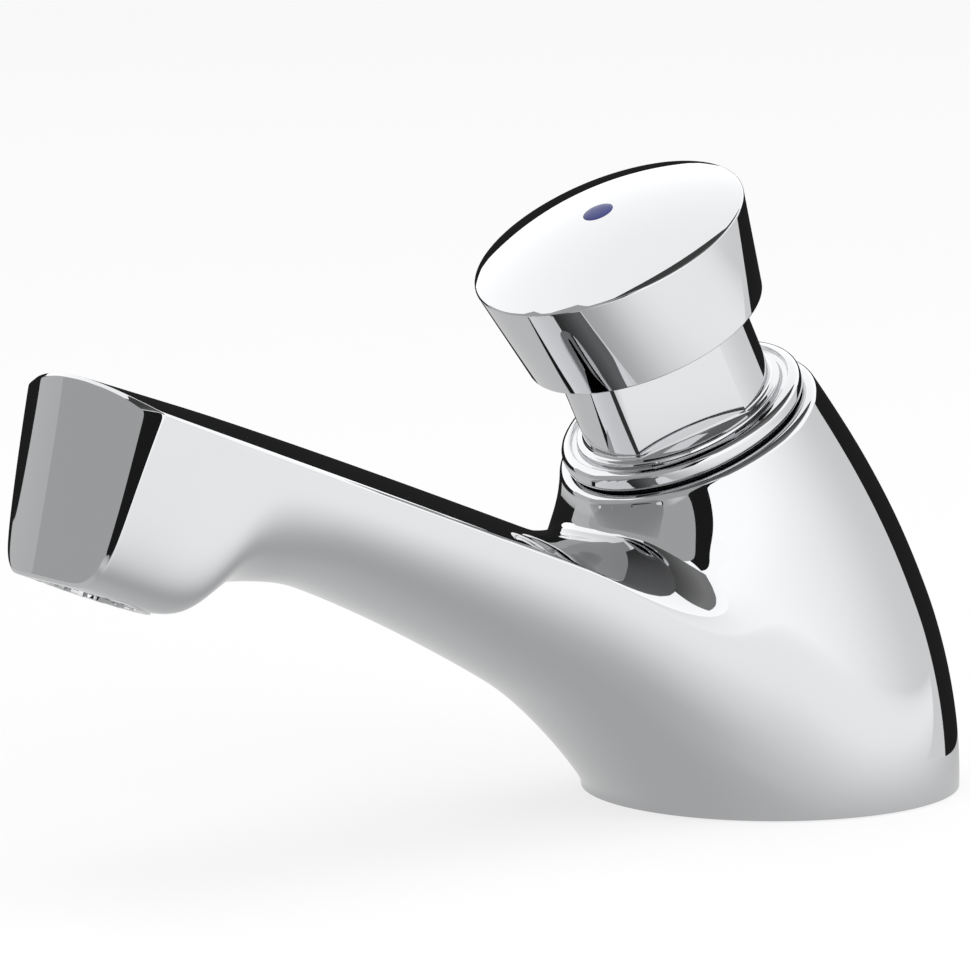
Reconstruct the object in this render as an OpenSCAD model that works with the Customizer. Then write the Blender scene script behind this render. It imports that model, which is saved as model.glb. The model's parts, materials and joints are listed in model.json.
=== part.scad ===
// Push timed tap: a leaning push button on a cast spout body, for one-hole basins.
// Millimetres. The origin is the centre of the foot on the basin, +Z up, spout towards -Y.
// The button axis leans towards the spout; "s" is the distance along it from the basin plane.

/* [Body] */
// Radius of the round foot on the basin
base_r = 27; // [25:0.5:32]
// Lean of the button axis towards the spout, degrees
tilt = 26.7; // [23:0.1:30]
// Where the button axis meets the basin plane, behind the foot centre
axis_foot_y = 11; // [8:0.5:13]
// Collar lip, distance along the button axis
lip_s = 59.5; // [58:0.5:64]
// Outer radius of the collar lip
lip_r = 19.4; // [19:0.1:22]
// Rounding of the collar lip
lip_round = 1.2; // [0.6:0.1:1.5]
// How much the back of the body swells between foot and collar
body_swell = 2.2; // [1:0.1:5]

/* [Spout] */
// Distance from the foot centre to the outlet centre
reach = 119; // [105:0.5:130]
// Rise of the spout deck, degrees
deck_tilt = 22.3; // [18:0.1:24]
// Height of the deck edge above the basin, at the root of the spout
deck_root_z = 31; // [29:0.5:34]
// Distance from the foot centre to that root point
deck_root_y = 29; // [26:0.5:32]
// Half-width of the deck at the nose
nose_half_w = 15; // [13:0.5:18]
// Half-width of the deck at the root
root_half_w = 20; // [18:0.5:23]
// Crown of the deck over its edges, at the nose
nose_crown = 2.1; // [0.8:0.1:3]
// Crown of the deck over its edges, at the root
root_crown = 4.2; // [2:0.1:6]
// Length of the fillet from the deck up to the collar
neck_fillet = 14; // [9:0.5:16]
// Least thickness of the spout under the deck edge
spout_thick = 14.7; // [12.5:0.5:17]
// Height of the nose square to the deck, edge to outlet
nose_h = 25.4; // [22:0.2:28]
// How far the nose runs on in front of the outlet centre
nose_ahead = 6; // [5.5:0.5:12]
// Lean of the nose front over the outlet, degrees
nose_lean = 11; // [0:1:20]
// Bow of the nose front in plan
nose_bow = 3.5; // [1:0.5:5]
// Radius of the outlet's round chin
chin_r = 11; // [10.5:0.1:13]
// Radius of the waterway in the spout
waterway_r = 4.2; // [3:0.1:4.6]

/* [Bonnet] */
// Radius of the bonnet's flange bead on the lip
flange_r = 17.8; // [17:0.1:18.6]
// Height of the flange bead
flange_h = 3.4; // [2.5:0.1:4.5]
// Radius of the bonnet's neck
neck_r = 13.9; // [13:0.1:14.5]
// Top of the neck inside the cap, above the lip
neck_h = 20.5; // [18:0.5:22]
// Distance across the two spanner flats
flats_across = 22.8; // [22.4:0.1:25]
// Turn of the spanner flats about the button axis, degrees
flats_turn = -30; // [-90:1:90]
// Radius of the bonnet's screwed part
bonnet_screw_r = 14.5; // [14:0.1:15.5]
// Depth of the bonnet below the lip
bonnet_depth = 9.5; // [8:0.5:12]
// Radius of the spring pocket in the neck
pocket_r = 9.8; // [9.6:0.1:10.4]
// Height of the gland floor above the lip
gland_top = 6.5; // [5:0.5:8]

/* [Push button] */
// Travel of the button
stroke = 7; // [5:0.5:7]
// Radius of the cap's rim
cap_rim_r = 20; // [19:0.5:22]
// Radius of the cap at the foot of its skirt
cap_foot_r = 17.4; // [17:0.1:18.5]
// Height of the cap's lower edge above the lip
cap_lift = 16.5; // [15:0.5:17.5]
// Height of the cap's skirt from lower edge to rim
cap_skirt_h = 14.8; // [14:0.1:18]
// Thickness of the lip that closes the skirt's foot towards the neck
cap_lip_t = 2; // [1.2:0.1:3]
// Rise of the cap's dome over its rim
cap_dome = 4.2; // [2:0.1:6]
// Thickness of the cap's top at the rim plane
cap_top_t = 2.8; // [2:0.1:3.4]
// Wall between the cap's cavity and the foot of its skirt
cap_wall = 1.9; // [1.4:0.1:2.1]
// Radius of the blue index disc
index_r = 2.2; // [1.5:0.1:3.5]
// Radius of the push rod
rod_r = 3; // [2.5:0.1:3.4]

/* [Valve] */
// Depth of the threaded socket for the inlet shank
socket_depth = 7.5; // [6:0.5:8]
// Radius of the valve chamber under the seat
chamber_r = 7.5; // [7.2:0.1:8.5]
// Radius of the valve washer
washer_r = 6.6; // [6:0.1:6.8]
// Thickness of the valve washer
washer_t = 2.2; // [1.5:0.1:3]
// Thickness of the valve plate
plate_t = 1.8; // [1.2:0.1:2.5]
// Thickness of the seat ring
seat_t = 3; // [2.5:0.1:4]
// Radius of the water hole in the seat ring
seat_hole_r = 4.6; // [4.2:0.1:5.2]
// Outer radius of the timing sleeve
sleeve_r = 12.9; // [12.5:0.1:13.4]
// Radius of the timing piston
piston_r = 9.7; // [9:0.1:10.2]
// Height of the timing piston
piston_h = 5; // [4:0.5:6]
// Wire radius of the return spring
wire_r = 0.75; // [0.5:0.05:0.9]
// Turns of the return spring
spring_turns = 7; // [4:1:8]

/* [Outlet] */
// Radius of the aerator's thread
aerator_r = 8; // [7.6:0.1:8.6]
// Length of the aerator housing
aerator_h = 8; // [7:0.5:10]
// Wall of the aerator housing
aerator_wall = 1.1; // [0.8:0.1:1.5]
// Notches round the mouth of the aerator housing
aerator_notches = 16; // [8:2:24]

/* [Fixing] */
// Radius of the inlet shank, half-inch pipe thread
shank_r = 10.48; // [9:0.01:12]
// Radius of the water bore in the shank
shank_bore_r = 7; // [6.6:0.1:8]
// Length of the shank below the basin plane
shank_len = 48; // [40:1:70]
// Thickness of basin that the fixing is drawn up to
basin_t = 14; // [6:1:20]
// Height of the backnut
nut_h = 8; // [6:0.5:12]
// Distance across the backnut's flats
nut_across = 30; // [26:0.5:36]
// Thickness of the base gasket
base_gasket_t = 2; // [1:0.1:3]

/* [Hidden] */
$fn = 64;

// Clearances
thread_gap = 0.04;
run_gap = 0.05;
air_gap = 0.4;
seat_gap = 0.02;
fit_gap = 0.02;

// Heights along the button axis
lip_inner_r = bonnet_screw_r + 2;
o_ring_d = 1.8;
bonnet_s = lip_s - bonnet_depth;
gland_s = lip_s + gland_top;
cap_foot_s = lip_s + cap_lift;
cap_rim_s = cap_foot_s + cap_skirt_h;
cap_ceiling_s = cap_rim_s - cap_top_t;
apex_s = cap_rim_s + cap_dome;
chamber_floor_s = (socket_depth + 0.5 + chamber_r * sin(tilt)) / cos(tilt);
rod_end_s = chamber_floor_s + stroke + 0.6;
plate_s = rod_end_s + 0.5;
washer_s = plate_s + plate_t;
seat_s = washer_s + washer_t + seat_gap;
gasket_t = 1;
sleeve_s = seat_s + seat_t;
piston_s = sleeve_s + stroke + 7;
piston_top_s = piston_s + piston_h;
sleeve_bore_r = piston_r + 0.3;

// Frames that the pieces are drawn in
module on_axis(s = 0) {
    translate([0, axis_foot_y, 0])
        rotate([tilt, 0, 0])
            translate([0, 0, s])
                children();
}

module at_outlet(h = 0) {
    translate([0, -reach, outlet_z])
        rotate([-deck_tilt, 0, 0])
            translate([0, 0, h])
                children();
}

// A ring of revolution between two radii and two heights
module tube(r_in, r_out, h) {
    difference() {
        cylinder(r = r_out, h = h);
        translate([0, 0, -1])
            cylinder(r = r_in, h = h + 2);
    }
}

// A round ring of circular section
module o_ring(r_mid, d) {
    rotate_extrude()
        translate([r_mid, 0])
            circle(d = d, $fn = 24);
}

// Faces of a stack of closed rings of n points each, with both ends closed by flat faces
function skin_faces(rings, n) = concat(
    [[for (i = [0 : n - 1]) i]],
    [for (j = [0 : rings - 2], i = [0 : n - 1])
        each [[j * n + i, (j + 1) * n + i, j * n + (i + 1) % n],
              [j * n + (i + 1) % n, (j + 1) * n + i, (j + 1) * n + (i + 1) % n]]],
    [[for (i = [n - 1 : -1 : 0]) (rings - 1) * n + i]]);

module skin(rings) {
    polyhedron([for (ring = rings) each ring], skin_faces(len(rings), len(rings[0])), convexity = 6);
}

// The body's leaning shell: round sections that turn from the foot to the rounded collar lip
shell_top_s = lip_s - lip_round;
bend_z = axis_foot_y / tan(tilt);
shell_points = 48;
shell_rings = 10;
lip_steps = 3;

function axis_point(s) = [0, axis_foot_y - s * sin(tilt), s * cos(tilt)];
function tilted_ring(centre, r, lean) = [for (i = [0 : shell_points - 1])
    let (a = 360 * i / shell_points)
    centre + [r * cos(a), r * sin(a) * cos(lean), r * sin(a) * sin(lean)]];
function shell_ring(t) = tilted_ring(
    2 * t * (1 - t) * [0, 0, bend_z] + t * t * axis_point(shell_top_s),
    base_r + (lip_r - base_r) * t + body_swell * 4 * t * (1 - t),
    tilt * t);
function lip_ring(a) = tilted_ring(
    axis_point(shell_top_s + lip_round * sin(a)), lip_r - lip_round * (1 - cos(a)), tilt);

module shell_skin() {
    skin(concat(
        [for (j = [0 : shell_rings - 1]) shell_ring(j / (shell_rings - 1))],
        [for (j = [1 : lip_steps]) lip_ring(90 * j / lip_steps)]));
}

// The spout: sections across the spout, from its root inside the shell to its nose.
// y is the distance in front of the foot centre
spout_back_y = 8;
nose_y = reach + nose_ahead;
arch_y = reach - 19;
chin_back_y = reach - 7;
thin_y = reach - 35;
spout_foot_y = base_r + 3.5;
root_spread = 3;
nose_dome = 1.5;
spout_points = 44;
spout_rings = 36;
outlet_z = deck_z(reach) - nose_h / cos(deck_tilt);

function deck_z(y) = deck_root_z + (y - deck_root_y) * tan(deck_tilt);
function ease(t) = let (c = min(1, max(0, t))) c * c * (3 - 2 * c);
function along(y) = (y - deck_root_y) / (nose_y - deck_root_y);
// The deck's edge fades into the flank behind the root point
function fade(y) = ease((deck_root_y + 6 - y) / 20);
function half_w(y) = root_half_w + (nose_half_w - root_half_w) * along(y) * (2 - along(y))
    + root_spread * pow(max(0, deck_root_y - y) / deck_root_y, 2);
function crown(y) = root_crown + (nose_crown - root_crown) * pow(max(0, along(y)), 3) + 10 * fade(y);
function foot_flare(y) = let (v = min(1.04, max(0, (thin_y - y) / (thin_y - spout_foot_y))))
    0.5 * spout_thick * (pow(v, 1.8) + 0.7 * pow(v, 14));
function depth(y) = foot_flare(y) + (spout_thick
    + (nose_h - spout_thick) * ease((y - arch_y) / (chin_back_y - arch_y))) / cos(deck_tilt);
function nose_share(y) = ease((y - arch_y) / (reach - arch_y));
function boxy(y) = 2.2 + 3.4 * nose_share(y);
function chin_taper(y) = (1 - chin_r / nose_half_w) * nose_share(y);

// One section at y, drawn in by the factor k and pushed forward
function spout_ring(y, k = 1, push = 0) = [for (i = [0 : spout_points - 1])
    let (a = 360 * i / spout_points, c = cos(a), s = sin(a),
         w = half_w(y), n = 2 / boxy(y), deep = depth(y), up = s >= 0,
         x = up ? w * c : w * sign(c) * pow(abs(c), n) * (1 - chin_taper(y) * pow(abs(s), n)),
         z = up ? crown(y) * pow(s, 2 - fade(y)) : -deep * pow(abs(s), n),
         rise = k * (z + deep / 2),
         bow = nose_bow * pow(k * x / w, 2) * nose_share(y),
         lean = rise * tan(nose_lean) * nose_share(y),
         ahead = y + push - bow - lean)
    [k * x, -ahead, max(1, deck_z(ahead) - deep / 2 + rise)]];

function spout_station(j) = spout_back_y + (nose_y - spout_back_y) * j / (spout_rings - 1);

module spout_skin() {
    skin(concat(
        [for (j = [0 : spout_rings - 1]) spout_ring(spout_station(j))],
        [for (k = [0.95, 0.75, 0.5, 0.25]) spout_ring(nose_y, k, nose_dome * sqrt(1 - k * k))]));
}

// The fillet where the deck meets the collar: sections round the front of the collar,
// each a curve from the wall down to the deck with two points sunk behind it
fillet_half_turn = 72;
fillet_steps = 26;
fillet_curve = 7;
fillet_sink = 3;
fillet_edge = 0.6;
fillet_bite = 0.3;
fillet_ease = 0.3;
fillet_s = shell_top_s;

function deck_top(x, y) = deck_z(y) + crown(y)
    * pow(max(0, 1 - pow(x / half_w(y), 2)), 1 - fade(y) / 2);
function collar_out(a) = [sin(a), -cos(a) * cos(tilt), -cos(a) * sin(tilt)];
function fillet_ring(a) = let (
        size = pow(cos(88 * a / fillet_half_turn), 0.6),
        rim = axis_point(fillet_s) + (lip_r - fillet_bite) * collar_out(a),
        far_y = rim.y - neck_fillet * cos(a),
        far_x = sign(a) * min(abs(rim.x + neck_fillet * sin(a)), half_w(-far_y) - fillet_edge),
        corner = [rim.x, rim.y, deck_top(rim.x, -rim.y)],
        wall = corner + size * (rim - corner),
        foot = corner + size * ([far_x, far_y, deck_top(far_x, -far_y) - fillet_bite] - corner),
        pull = corner + fillet_ease * ((wall + foot) / 2 - corner))
    concat(
        [wall - fillet_sink * collar_out(a)],
        [for (k = [0 : fillet_curve]) let (t = k / fillet_curve)
            (1 - t) * (1 - t) * wall + 2 * t * (1 - t) * pull + t * t * foot],
        [foot - fillet_sink * [sin(a), -cos(a), 1], corner - [0, 0, fillet_sink] - fillet_sink * collar_out(a)]);

module collar_fillet() {
    skin([for (j = [0 : fillet_steps]) fillet_ring(fillet_half_turn * (2 * j / fillet_steps - 1))]);
}

// The outer skin of the casting, as one closed surface
module cast_skin() {
    resize([0, 0, 0])
        union() {
            shell_skin();
            spout_skin();
            collar_fillet();
        }
}

// A round bore between two points in the plane of symmetry
module bore_between(a, b, r) {
    d = b - a;
    translate(a)
        rotate([atan2(-d.y, d.z), 0, 0])
            cylinder(r = r, h = norm(d));
}

// Water passages and seats inside the casting
window_s = sleeve_s + 4.2;
window_wall = axis_point(window_s) - sleeve_r * [0, cos(tilt), sin(tilt)];
outlet_top_h = 15;
nose_end = [0, outlet_top_h * sin(deck_tilt) - reach, outlet_z + outlet_top_h * cos(deck_tilt)];
water_line = (nose_end - window_wall) / norm(nose_end - window_wall);
passage_r = 4.5;
passage_y = 2;
counterbore_h = o_ring_d + 0.3;
aerator_seal_t = 1.5;
aerator_step = 1.9;

module valve_bores() {
    on_axis(chamber_floor_s)
        cylinder(r = chamber_r, h = lip_s - chamber_floor_s);
    on_axis(seat_s - gasket_t)
        cylinder(r = sleeve_r + thread_gap, h = lip_s - seat_s);
    on_axis(bonnet_s)
        cylinder(r = bonnet_screw_r + thread_gap, h = bonnet_depth + 1);
    on_axis(lip_s - counterbore_h)
        cylinder(r = lip_inner_r, h = counterbore_h + 1);
}

module inlet_bores() {
    translate([0, 0, -1])
        cylinder(r = shank_r + thread_gap, h = socket_depth + 1);
    translate([0, passage_y, socket_depth - 1])
        cylinder(r = passage_r, h = chamber_r + 1);
}

module outlet_bores() {
    bore_between(window_wall - 3 * water_line, nose_end, waterway_r);
    at_outlet(-1)
        cylinder(r = aerator_r + thread_gap, h = aerator_h + aerator_seal_t + 1);
    at_outlet(aerator_h)
        cylinder(r = aerator_r - aerator_step, h = outlet_top_h + waterway_r - aerator_h);
}

// Base gasket and its groove under the foot
gasket_out_r = base_r - 2.5;
gasket_in_r = base_r - 7.5;

module body_casting() {
    color("gainsboro")
    difference() {
        cast_skin();
        valve_bores();
        inlet_bores();
        outlet_bores();
        translate([0, 0, -1])
            tube(gasket_in_r, gasket_out_r, base_gasket_t + 1);
    }
}

// Bonnet: screwed part, flange bead, neck with two spanner flats, spring pocket and rod gland
rod_hole_r = rod_r + run_gap;
gland_groove_r = rod_hole_r + o_ring_d + fit_gap;
gland_groove_z = 1;
gland_groove_h = o_ring_d + 0.2;
recess_z = -2.5;
neck_chamfer = 1;
foot_fillet = 0.8;
flats_rise = 1;

module bonnet_turning() {
    bead = flange_h / 2;
    rotate_extrude()
        polygon(concat(
            [[sleeve_bore_r, -bonnet_depth], [bonnet_screw_r, -bonnet_depth], [bonnet_screw_r, 0]],
            [for (a = [-90 : 15 : 90]) [flange_r - bead + bead * cos(a), bead + bead * sin(a)]],
            [[neck_r + foot_fillet, flange_h], [neck_r, flange_h + foot_fillet],
             [neck_r, neck_h - neck_chamfer], [neck_r - neck_chamfer, neck_h],
             [pocket_r, neck_h], [pocket_r, gland_top], [rod_hole_r, gland_top],
             [rod_hole_r, gland_groove_z + gland_groove_h],
             [gland_groove_r, gland_groove_z + gland_groove_h],
             [gland_groove_r, gland_groove_z], [rod_hole_r, gland_groove_z],
             [rod_hole_r, recess_z], [sleeve_bore_r, recess_z]]));
}

module bonnet() {
    color("gainsboro")
    on_axis(lip_s)
        difference() {
            bonnet_turning();
            for (side = [0, 180])
                rotate([0, 0, flats_turn + side])
                    translate([flats_across / 2, -neck_r, flange_h + flats_rise])
                        cube([neck_r, 2 * neck_r, neck_h]);
        }
}

module bonnet_o_ring() {
    color("dimgray")
    on_axis(lip_s - o_ring_d / 2 - 0.1)
        o_ring((bonnet_screw_r + lip_inner_r) / 2, o_ring_d);
}

module gland_o_ring() {
    color("dimgray")
    on_axis(lip_s + gland_groove_z + gland_groove_h / 2)
        o_ring(rod_hole_r + o_ring_d / 2, o_ring_d);
}

// Timing sleeve: the cylinder that the piston runs in, with water windows at its foot
sleeve_h = bonnet_s - sleeve_s;
sleeve_ring_d = 1.5;
sleeve_groove_z = sleeve_h - 5;
window_r = 3;

module timing_sleeve() {
    color("ivory")
    on_axis(sleeve_s)
        difference() {
            tube(sleeve_bore_r, sleeve_r, sleeve_h);
            translate([0, 0, sleeve_groove_z])
                tube(sleeve_r - sleeve_ring_d, sleeve_r + 1, sleeve_ring_d + 0.2);
            for (a = [0 : 90 : 270])
                rotate([90, 0, a])
                    translate([0, window_s - sleeve_s, 0])
                        cylinder(r = window_r, h = sleeve_r + 1);
        }
}

module sleeve_o_ring() {
    color("dimgray")
    on_axis(sleeve_s + sleeve_groove_z + sleeve_ring_d / 2 + 0.1)
        o_ring(sleeve_r - sleeve_ring_d / 2, sleeve_ring_d);
}

module seat_ring() {
    color("darkkhaki")
    on_axis(seat_s)
        tube(seat_hole_r, sleeve_r, seat_t);
}

module seat_gasket() {
    color("dimgray")
    on_axis(seat_s - gasket_t)
        tube(chamber_r + 1.5, sleeve_r, gasket_t);
}

// Inlet shank with its seal, its strainer and the relief groove between the two runs of thread
shank_ring_d = 1.5;
shank_ring_z = 2;
relief_w = 1.5;
relief_d = 1;
strainer_wall = 0.6;
strainer_h = 14;
strainer_tip_r = 3.2;
strainer_holes = 8;

module inlet_shank() {
    color("darkkhaki")
    difference() {
        translate([0, 0, -shank_len])
            tube(shank_bore_r, shank_r, shank_len + socket_depth - 0.2);
        translate([0, 0, shank_ring_z])
            tube(shank_r - shank_ring_d, shank_r + 1, shank_ring_d + 0.2);
        translate([0, 0, nut_foot_z - relief_w])
            tube(shank_r - relief_d, shank_r + 1, relief_w);
    }
}

module shank_o_ring() {
    color("dimgray")
    translate([0, 0, shank_ring_z + shank_ring_d / 2 + 0.1])
        o_ring(shank_r - shank_ring_d / 2, shank_ring_d);
}

module inlet_filter() {
    rim_r = shank_bore_r - fit_gap;
    color("lightsteelblue")
    translate([0, 0, -shank_len])
        difference() {
            rotate_extrude()
                polygon([[rim_r - 1.5, 0], [rim_r, 0], [rim_r, 1.5], [rim_r - 0.8, 1.5],
                         [strainer_tip_r, strainer_h], [0, strainer_h], [0, strainer_h - strainer_wall],
                         [strainer_tip_r - strainer_wall, strainer_h - strainer_wall]]);
            for (row = [0 : 2], a = [0 : 360 / strainer_holes : 359])
                rotate([90, 0, a + row * 180 / strainer_holes])
                    translate([0, strainer_h * (0.3 + 0.22 * row), 0])
                        cylinder(r = 0.7, h = shank_bore_r);
        }
}

module base_gasket() {
    color("dimgray")
    tube(gasket_in_r, gasket_out_r, base_gasket_t);
}

// Fixing under the basin
basin_washer_r = 23;
basin_washer_t = 3;
clamp_washer_r = 21;
clamp_washer_t = 1.6;
washer_gap = 0.3;
basin_washer_z = -basin_t - basin_washer_t;
clamp_washer_z = basin_washer_z - clamp_washer_t;
nut_foot_z = clamp_washer_z - nut_h;

module basin_washer() {
    color("dimgray")
    translate([0, 0, basin_washer_z])
        tube(shank_r + washer_gap, basin_washer_r, basin_washer_t);
}

module clamp_washer() {
    color("lightsteelblue")
    translate([0, 0, clamp_washer_z])
        tube(shank_r + washer_gap, clamp_washer_r, clamp_washer_t);
}

module backnut() {
    color("darkkhaki")
    translate([0, 0, nut_foot_z])
        difference() {
            intersection() {
                cylinder(d = nut_across / cos(30), h = nut_h, $fn = 6);
                cylinder(r1 = nut_across / 2, r2 = nut_across / 2 + nut_h, h = nut_h);
            }
            translate([0, 0, -1])
                cylinder(r = shank_r + thread_gap, h = nut_h + 2);
        }
}

// Aerator: notched housing, seal, jet insert and screen
insert_r = aerator_r - aerator_wall - fit_gap;
mouth_r = aerator_r - aerator_wall - 0.9;
mouth_h = 1;
insert_h = 4.5;
jet_r = 0.9;
jet_pitch = 2.6;
screen_t = 0.5;
screen_rise = 1.2;

module aerator_housing() {
    color("silver")
    at_outlet()
        difference() {
            union() {
                tube(aerator_r - aerator_wall, aerator_r, aerator_h);
                tube(mouth_r, aerator_r, mouth_h);
            }
            for (a = [0 : 360 / aerator_notches : 359])
                rotate([0, 0, a])
                    translate([mouth_r + 0.4, -0.6, -1])
                        cube([aerator_r, 1.2, 1.6]);
        }
}

module aerator_seal() {
    color("dimgray")
    at_outlet(aerator_h)
        tube(aerator_r - aerator_step, aerator_r, aerator_seal_t);
}

module jet_insert() {
    color("whitesmoke")
    at_outlet(mouth_h)
        difference() {
            cylinder(r = insert_r, h = insert_h);
            for (i = [-2 : 2], j = [-2 : 2])
                let (x = jet_pitch * (i + j / 2), y = jet_pitch * j * sin(60))
                    if (norm([x, y]) < insert_r - 1.2)
                        translate([x, y, -1])
                            cylinder(r = jet_r, h = insert_h + 2);
        }
}

module aerator_screen() {
    color("lightsteelblue")
    at_outlet(mouth_h + insert_h)
        rotate_extrude()
            polygon(concat(
                [for (a = [0 : 6]) let (r = insert_r * a / 6) [r, screen_rise * (1 - pow(a / 6, 2))]],
                [for (a = [6 : -1 : 0]) let (r = insert_r * a / 6)
                    [r, screen_t + screen_rise * (1 - pow(a / 6, 2))]]));
}

// Push button: cap, index disc, rod, lock nut
cap_inner_r = neck_r + air_gap;
cavity_r = cap_foot_r - cap_wall;
cap_edge = 0.3;
boss_r = 6;
boss_h = 7;
boss_s = cap_ceiling_s - boss_h;
lock_nut_h = 3;
lock_nut_r = 5.5;
rod_top_s = cap_ceiling_s - 0.5;
dome_r = (cap_rim_r * cap_rim_r + cap_dome * cap_dome) / (2 * cap_dome);
index_depth = 2;
rim_round = 0.5;

function dome_s(r) = apex_s - dome_r + sqrt(dome_r * dome_r - r * r);

module button_cap() {
    color("gainsboro")
    on_axis()
        rotate_extrude()
            polygon(concat(
                [[cap_inner_r, cap_foot_s], [cap_foot_r - cap_edge, cap_foot_s],
                 [cap_foot_r, cap_foot_s + cap_edge], [cap_rim_r, cap_rim_s - rim_round]],
                [for (j = [0 : 8]) let (r = (cap_rim_r - rim_round) + (index_r - cap_rim_r + rim_round) * j / 8)
                    [r, dome_s(r)]],
                [[index_r, apex_s - index_depth], [0, apex_s - index_depth],
                 [0, rod_top_s], [rod_r + fit_gap, rod_top_s], [rod_r + fit_gap, boss_s], [boss_r, boss_s],
                 [boss_r, cap_ceiling_s], [cavity_r, cap_ceiling_s], [cavity_r, cap_foot_s + cap_lip_t],
                 [cap_inner_r, cap_foot_s + cap_lip_t]]));
}

module index_disc() {
    color("slateblue")
    on_axis()
        rotate_extrude()
            polygon([[0, apex_s - index_depth], [index_r - fit_gap, apex_s - index_depth],
                     [index_r - fit_gap, dome_s(index_r)], [index_r / 2, apex_s + 0.1], [0, apex_s + 0.15]]);
}

clip_t = 0.8;
clip_bite = 0.7;
collar_r = rod_r + 1.4;

module push_rod() {
    color("lightsteelblue")
    on_axis(rod_end_s)
        difference() {
            union() {
                cylinder(r = rod_r, h = rod_top_s - rod_end_s);
                translate([0, 0, piston_top_s - rod_end_s])
                    cylinder(r = collar_r, h = 1);
            }
            translate([0, 0, piston_s - clip_t - rod_end_s])
                tube(rod_r - clip_bite, rod_r + 1, clip_t);
        }
}

module cap_lock_nut() {
    color("lightsteelblue")
    on_axis(boss_s - lock_nut_h)
        difference() {
            cylinder(r = lock_nut_r, h = lock_nut_h, $fn = 6);
            translate([0, 0, -1])
                cylinder(r = rod_r + fit_gap, h = lock_nut_h + 2);
        }
}

// Timing piston with its lip seal and clip
seal_floor_r = piston_r - 2.4;
seal_h = piston_h - 2.2;
land_h = 1.1;

module timing_piston() {
    color("ivory")
    on_axis(piston_s)
        difference() {
            tube(rod_r + fit_gap, piston_r, piston_h);
            translate([0, 0, land_h])
                tube(seal_floor_r, piston_r + 1, seal_h);
        }
}

module piston_lip_seal() {
    lip_out_r = sleeve_bore_r - run_gap;
    color("dimgray")
    on_axis(piston_s + land_h)
        rotate_extrude()
            polygon([[seal_floor_r, 0], [piston_r - 0.4, 0], [lip_out_r, seal_h - 0.2],
                     [lip_out_r - 0.7, seal_h - 0.1], [seal_floor_r + 0.8, 1], [seal_floor_r, seal_h - 0.1]]);
}

module rod_circlip() {
    color("lightsteelblue")
    on_axis(piston_s - clip_t)
        difference() {
            tube(rod_r - clip_bite + fit_gap, rod_r + 1.6, clip_t);
            translate([0, -rod_r + clip_bite, -1])
                cube([rod_r + 2, 2 * (rod_r - clip_bite), clip_t + 2]);
        }
}

module valve_plate() {
    color("darkkhaki")
    on_axis(plate_s)
        tube(rod_r + fit_gap, washer_r - 0.4, plate_t);
}

module valve_washer() {
    color("dimgray")
    on_axis(washer_s)
        tube(rod_r + fit_gap, washer_r, washer_t);
}

// Return spring: one helix between the gland and the cap's ceiling
spring_r = pocket_r - air_gap - wire_r;
spring_low = gland_s + wire_r + fit_gap;
spring_high = cap_ceiling_s - wire_r - fit_gap;
spring_rings = 16;
wire_sides = 6;
spring_steps = spring_turns * spring_rings;

function coil_point(j) = let (a = 360 * j / spring_rings)
    [spring_r * cos(a), spring_r * sin(a), spring_low + (spring_high - spring_low) * j / spring_steps];
function coil_ring(j) = let (a = 360 * j / spring_rings, c = coil_point(j))
    [for (k = [0 : wire_sides - 1]) let (b = -360 * k / wire_sides)
        c + wire_r * [cos(b) * cos(a), cos(b) * sin(a), sin(b)]];

least_turn_gap = min([for (j = [0 : spring_steps - spring_rings])
    norm(coil_point(j + spring_rings) - coil_point(j))]) - 2 * wire_r;
echo(least_turn_gap = least_turn_gap);

module return_spring() {
    color("silver")
    on_axis()
        skin([for (j = [0 : spring_steps]) coil_ring(j)]);
}

body_casting();
bonnet();
bonnet_o_ring();
gland_o_ring();
timing_sleeve();
sleeve_o_ring();
seat_ring();
seat_gasket();
inlet_shank();
shank_o_ring();
inlet_filter();
base_gasket();
basin_washer();
clamp_washer();
backnut();
aerator_housing();
aerator_seal();
jet_insert();
aerator_screen();
button_cap();
index_disc();
push_rod();
cap_lock_nut();
timing_piston();
piston_lip_seal();
rod_circlip();
valve_plate();
valve_washer();
return_spring();
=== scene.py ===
"""Looks of a push timed tap: polished casting, bonnet, push button, aerator and fixing."""
import json
import math

import bmesh
import bpy
from bpy.props import FloatProperty, FloatVectorProperty, IntProperty, PointerProperty
from mathutils import Matrix, Vector


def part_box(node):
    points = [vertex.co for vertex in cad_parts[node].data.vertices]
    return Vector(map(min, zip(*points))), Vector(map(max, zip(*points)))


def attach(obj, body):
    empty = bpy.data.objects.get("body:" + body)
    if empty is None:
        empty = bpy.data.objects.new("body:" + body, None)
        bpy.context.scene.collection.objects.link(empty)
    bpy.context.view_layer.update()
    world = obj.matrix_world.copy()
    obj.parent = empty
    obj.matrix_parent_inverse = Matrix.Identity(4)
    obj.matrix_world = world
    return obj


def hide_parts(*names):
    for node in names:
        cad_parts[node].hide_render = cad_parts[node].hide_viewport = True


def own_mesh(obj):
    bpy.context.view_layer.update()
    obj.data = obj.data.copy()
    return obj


bl_info = {
    "name": "Push timed tap",
    "version": (1, 0, 0),
    "blender": (4, 5, 0),
    "location": "View3D > Sidebar > Tap",
    "description": "Models the finished pieces of a push timed basin tap",
    "category": "Object",
}

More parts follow.
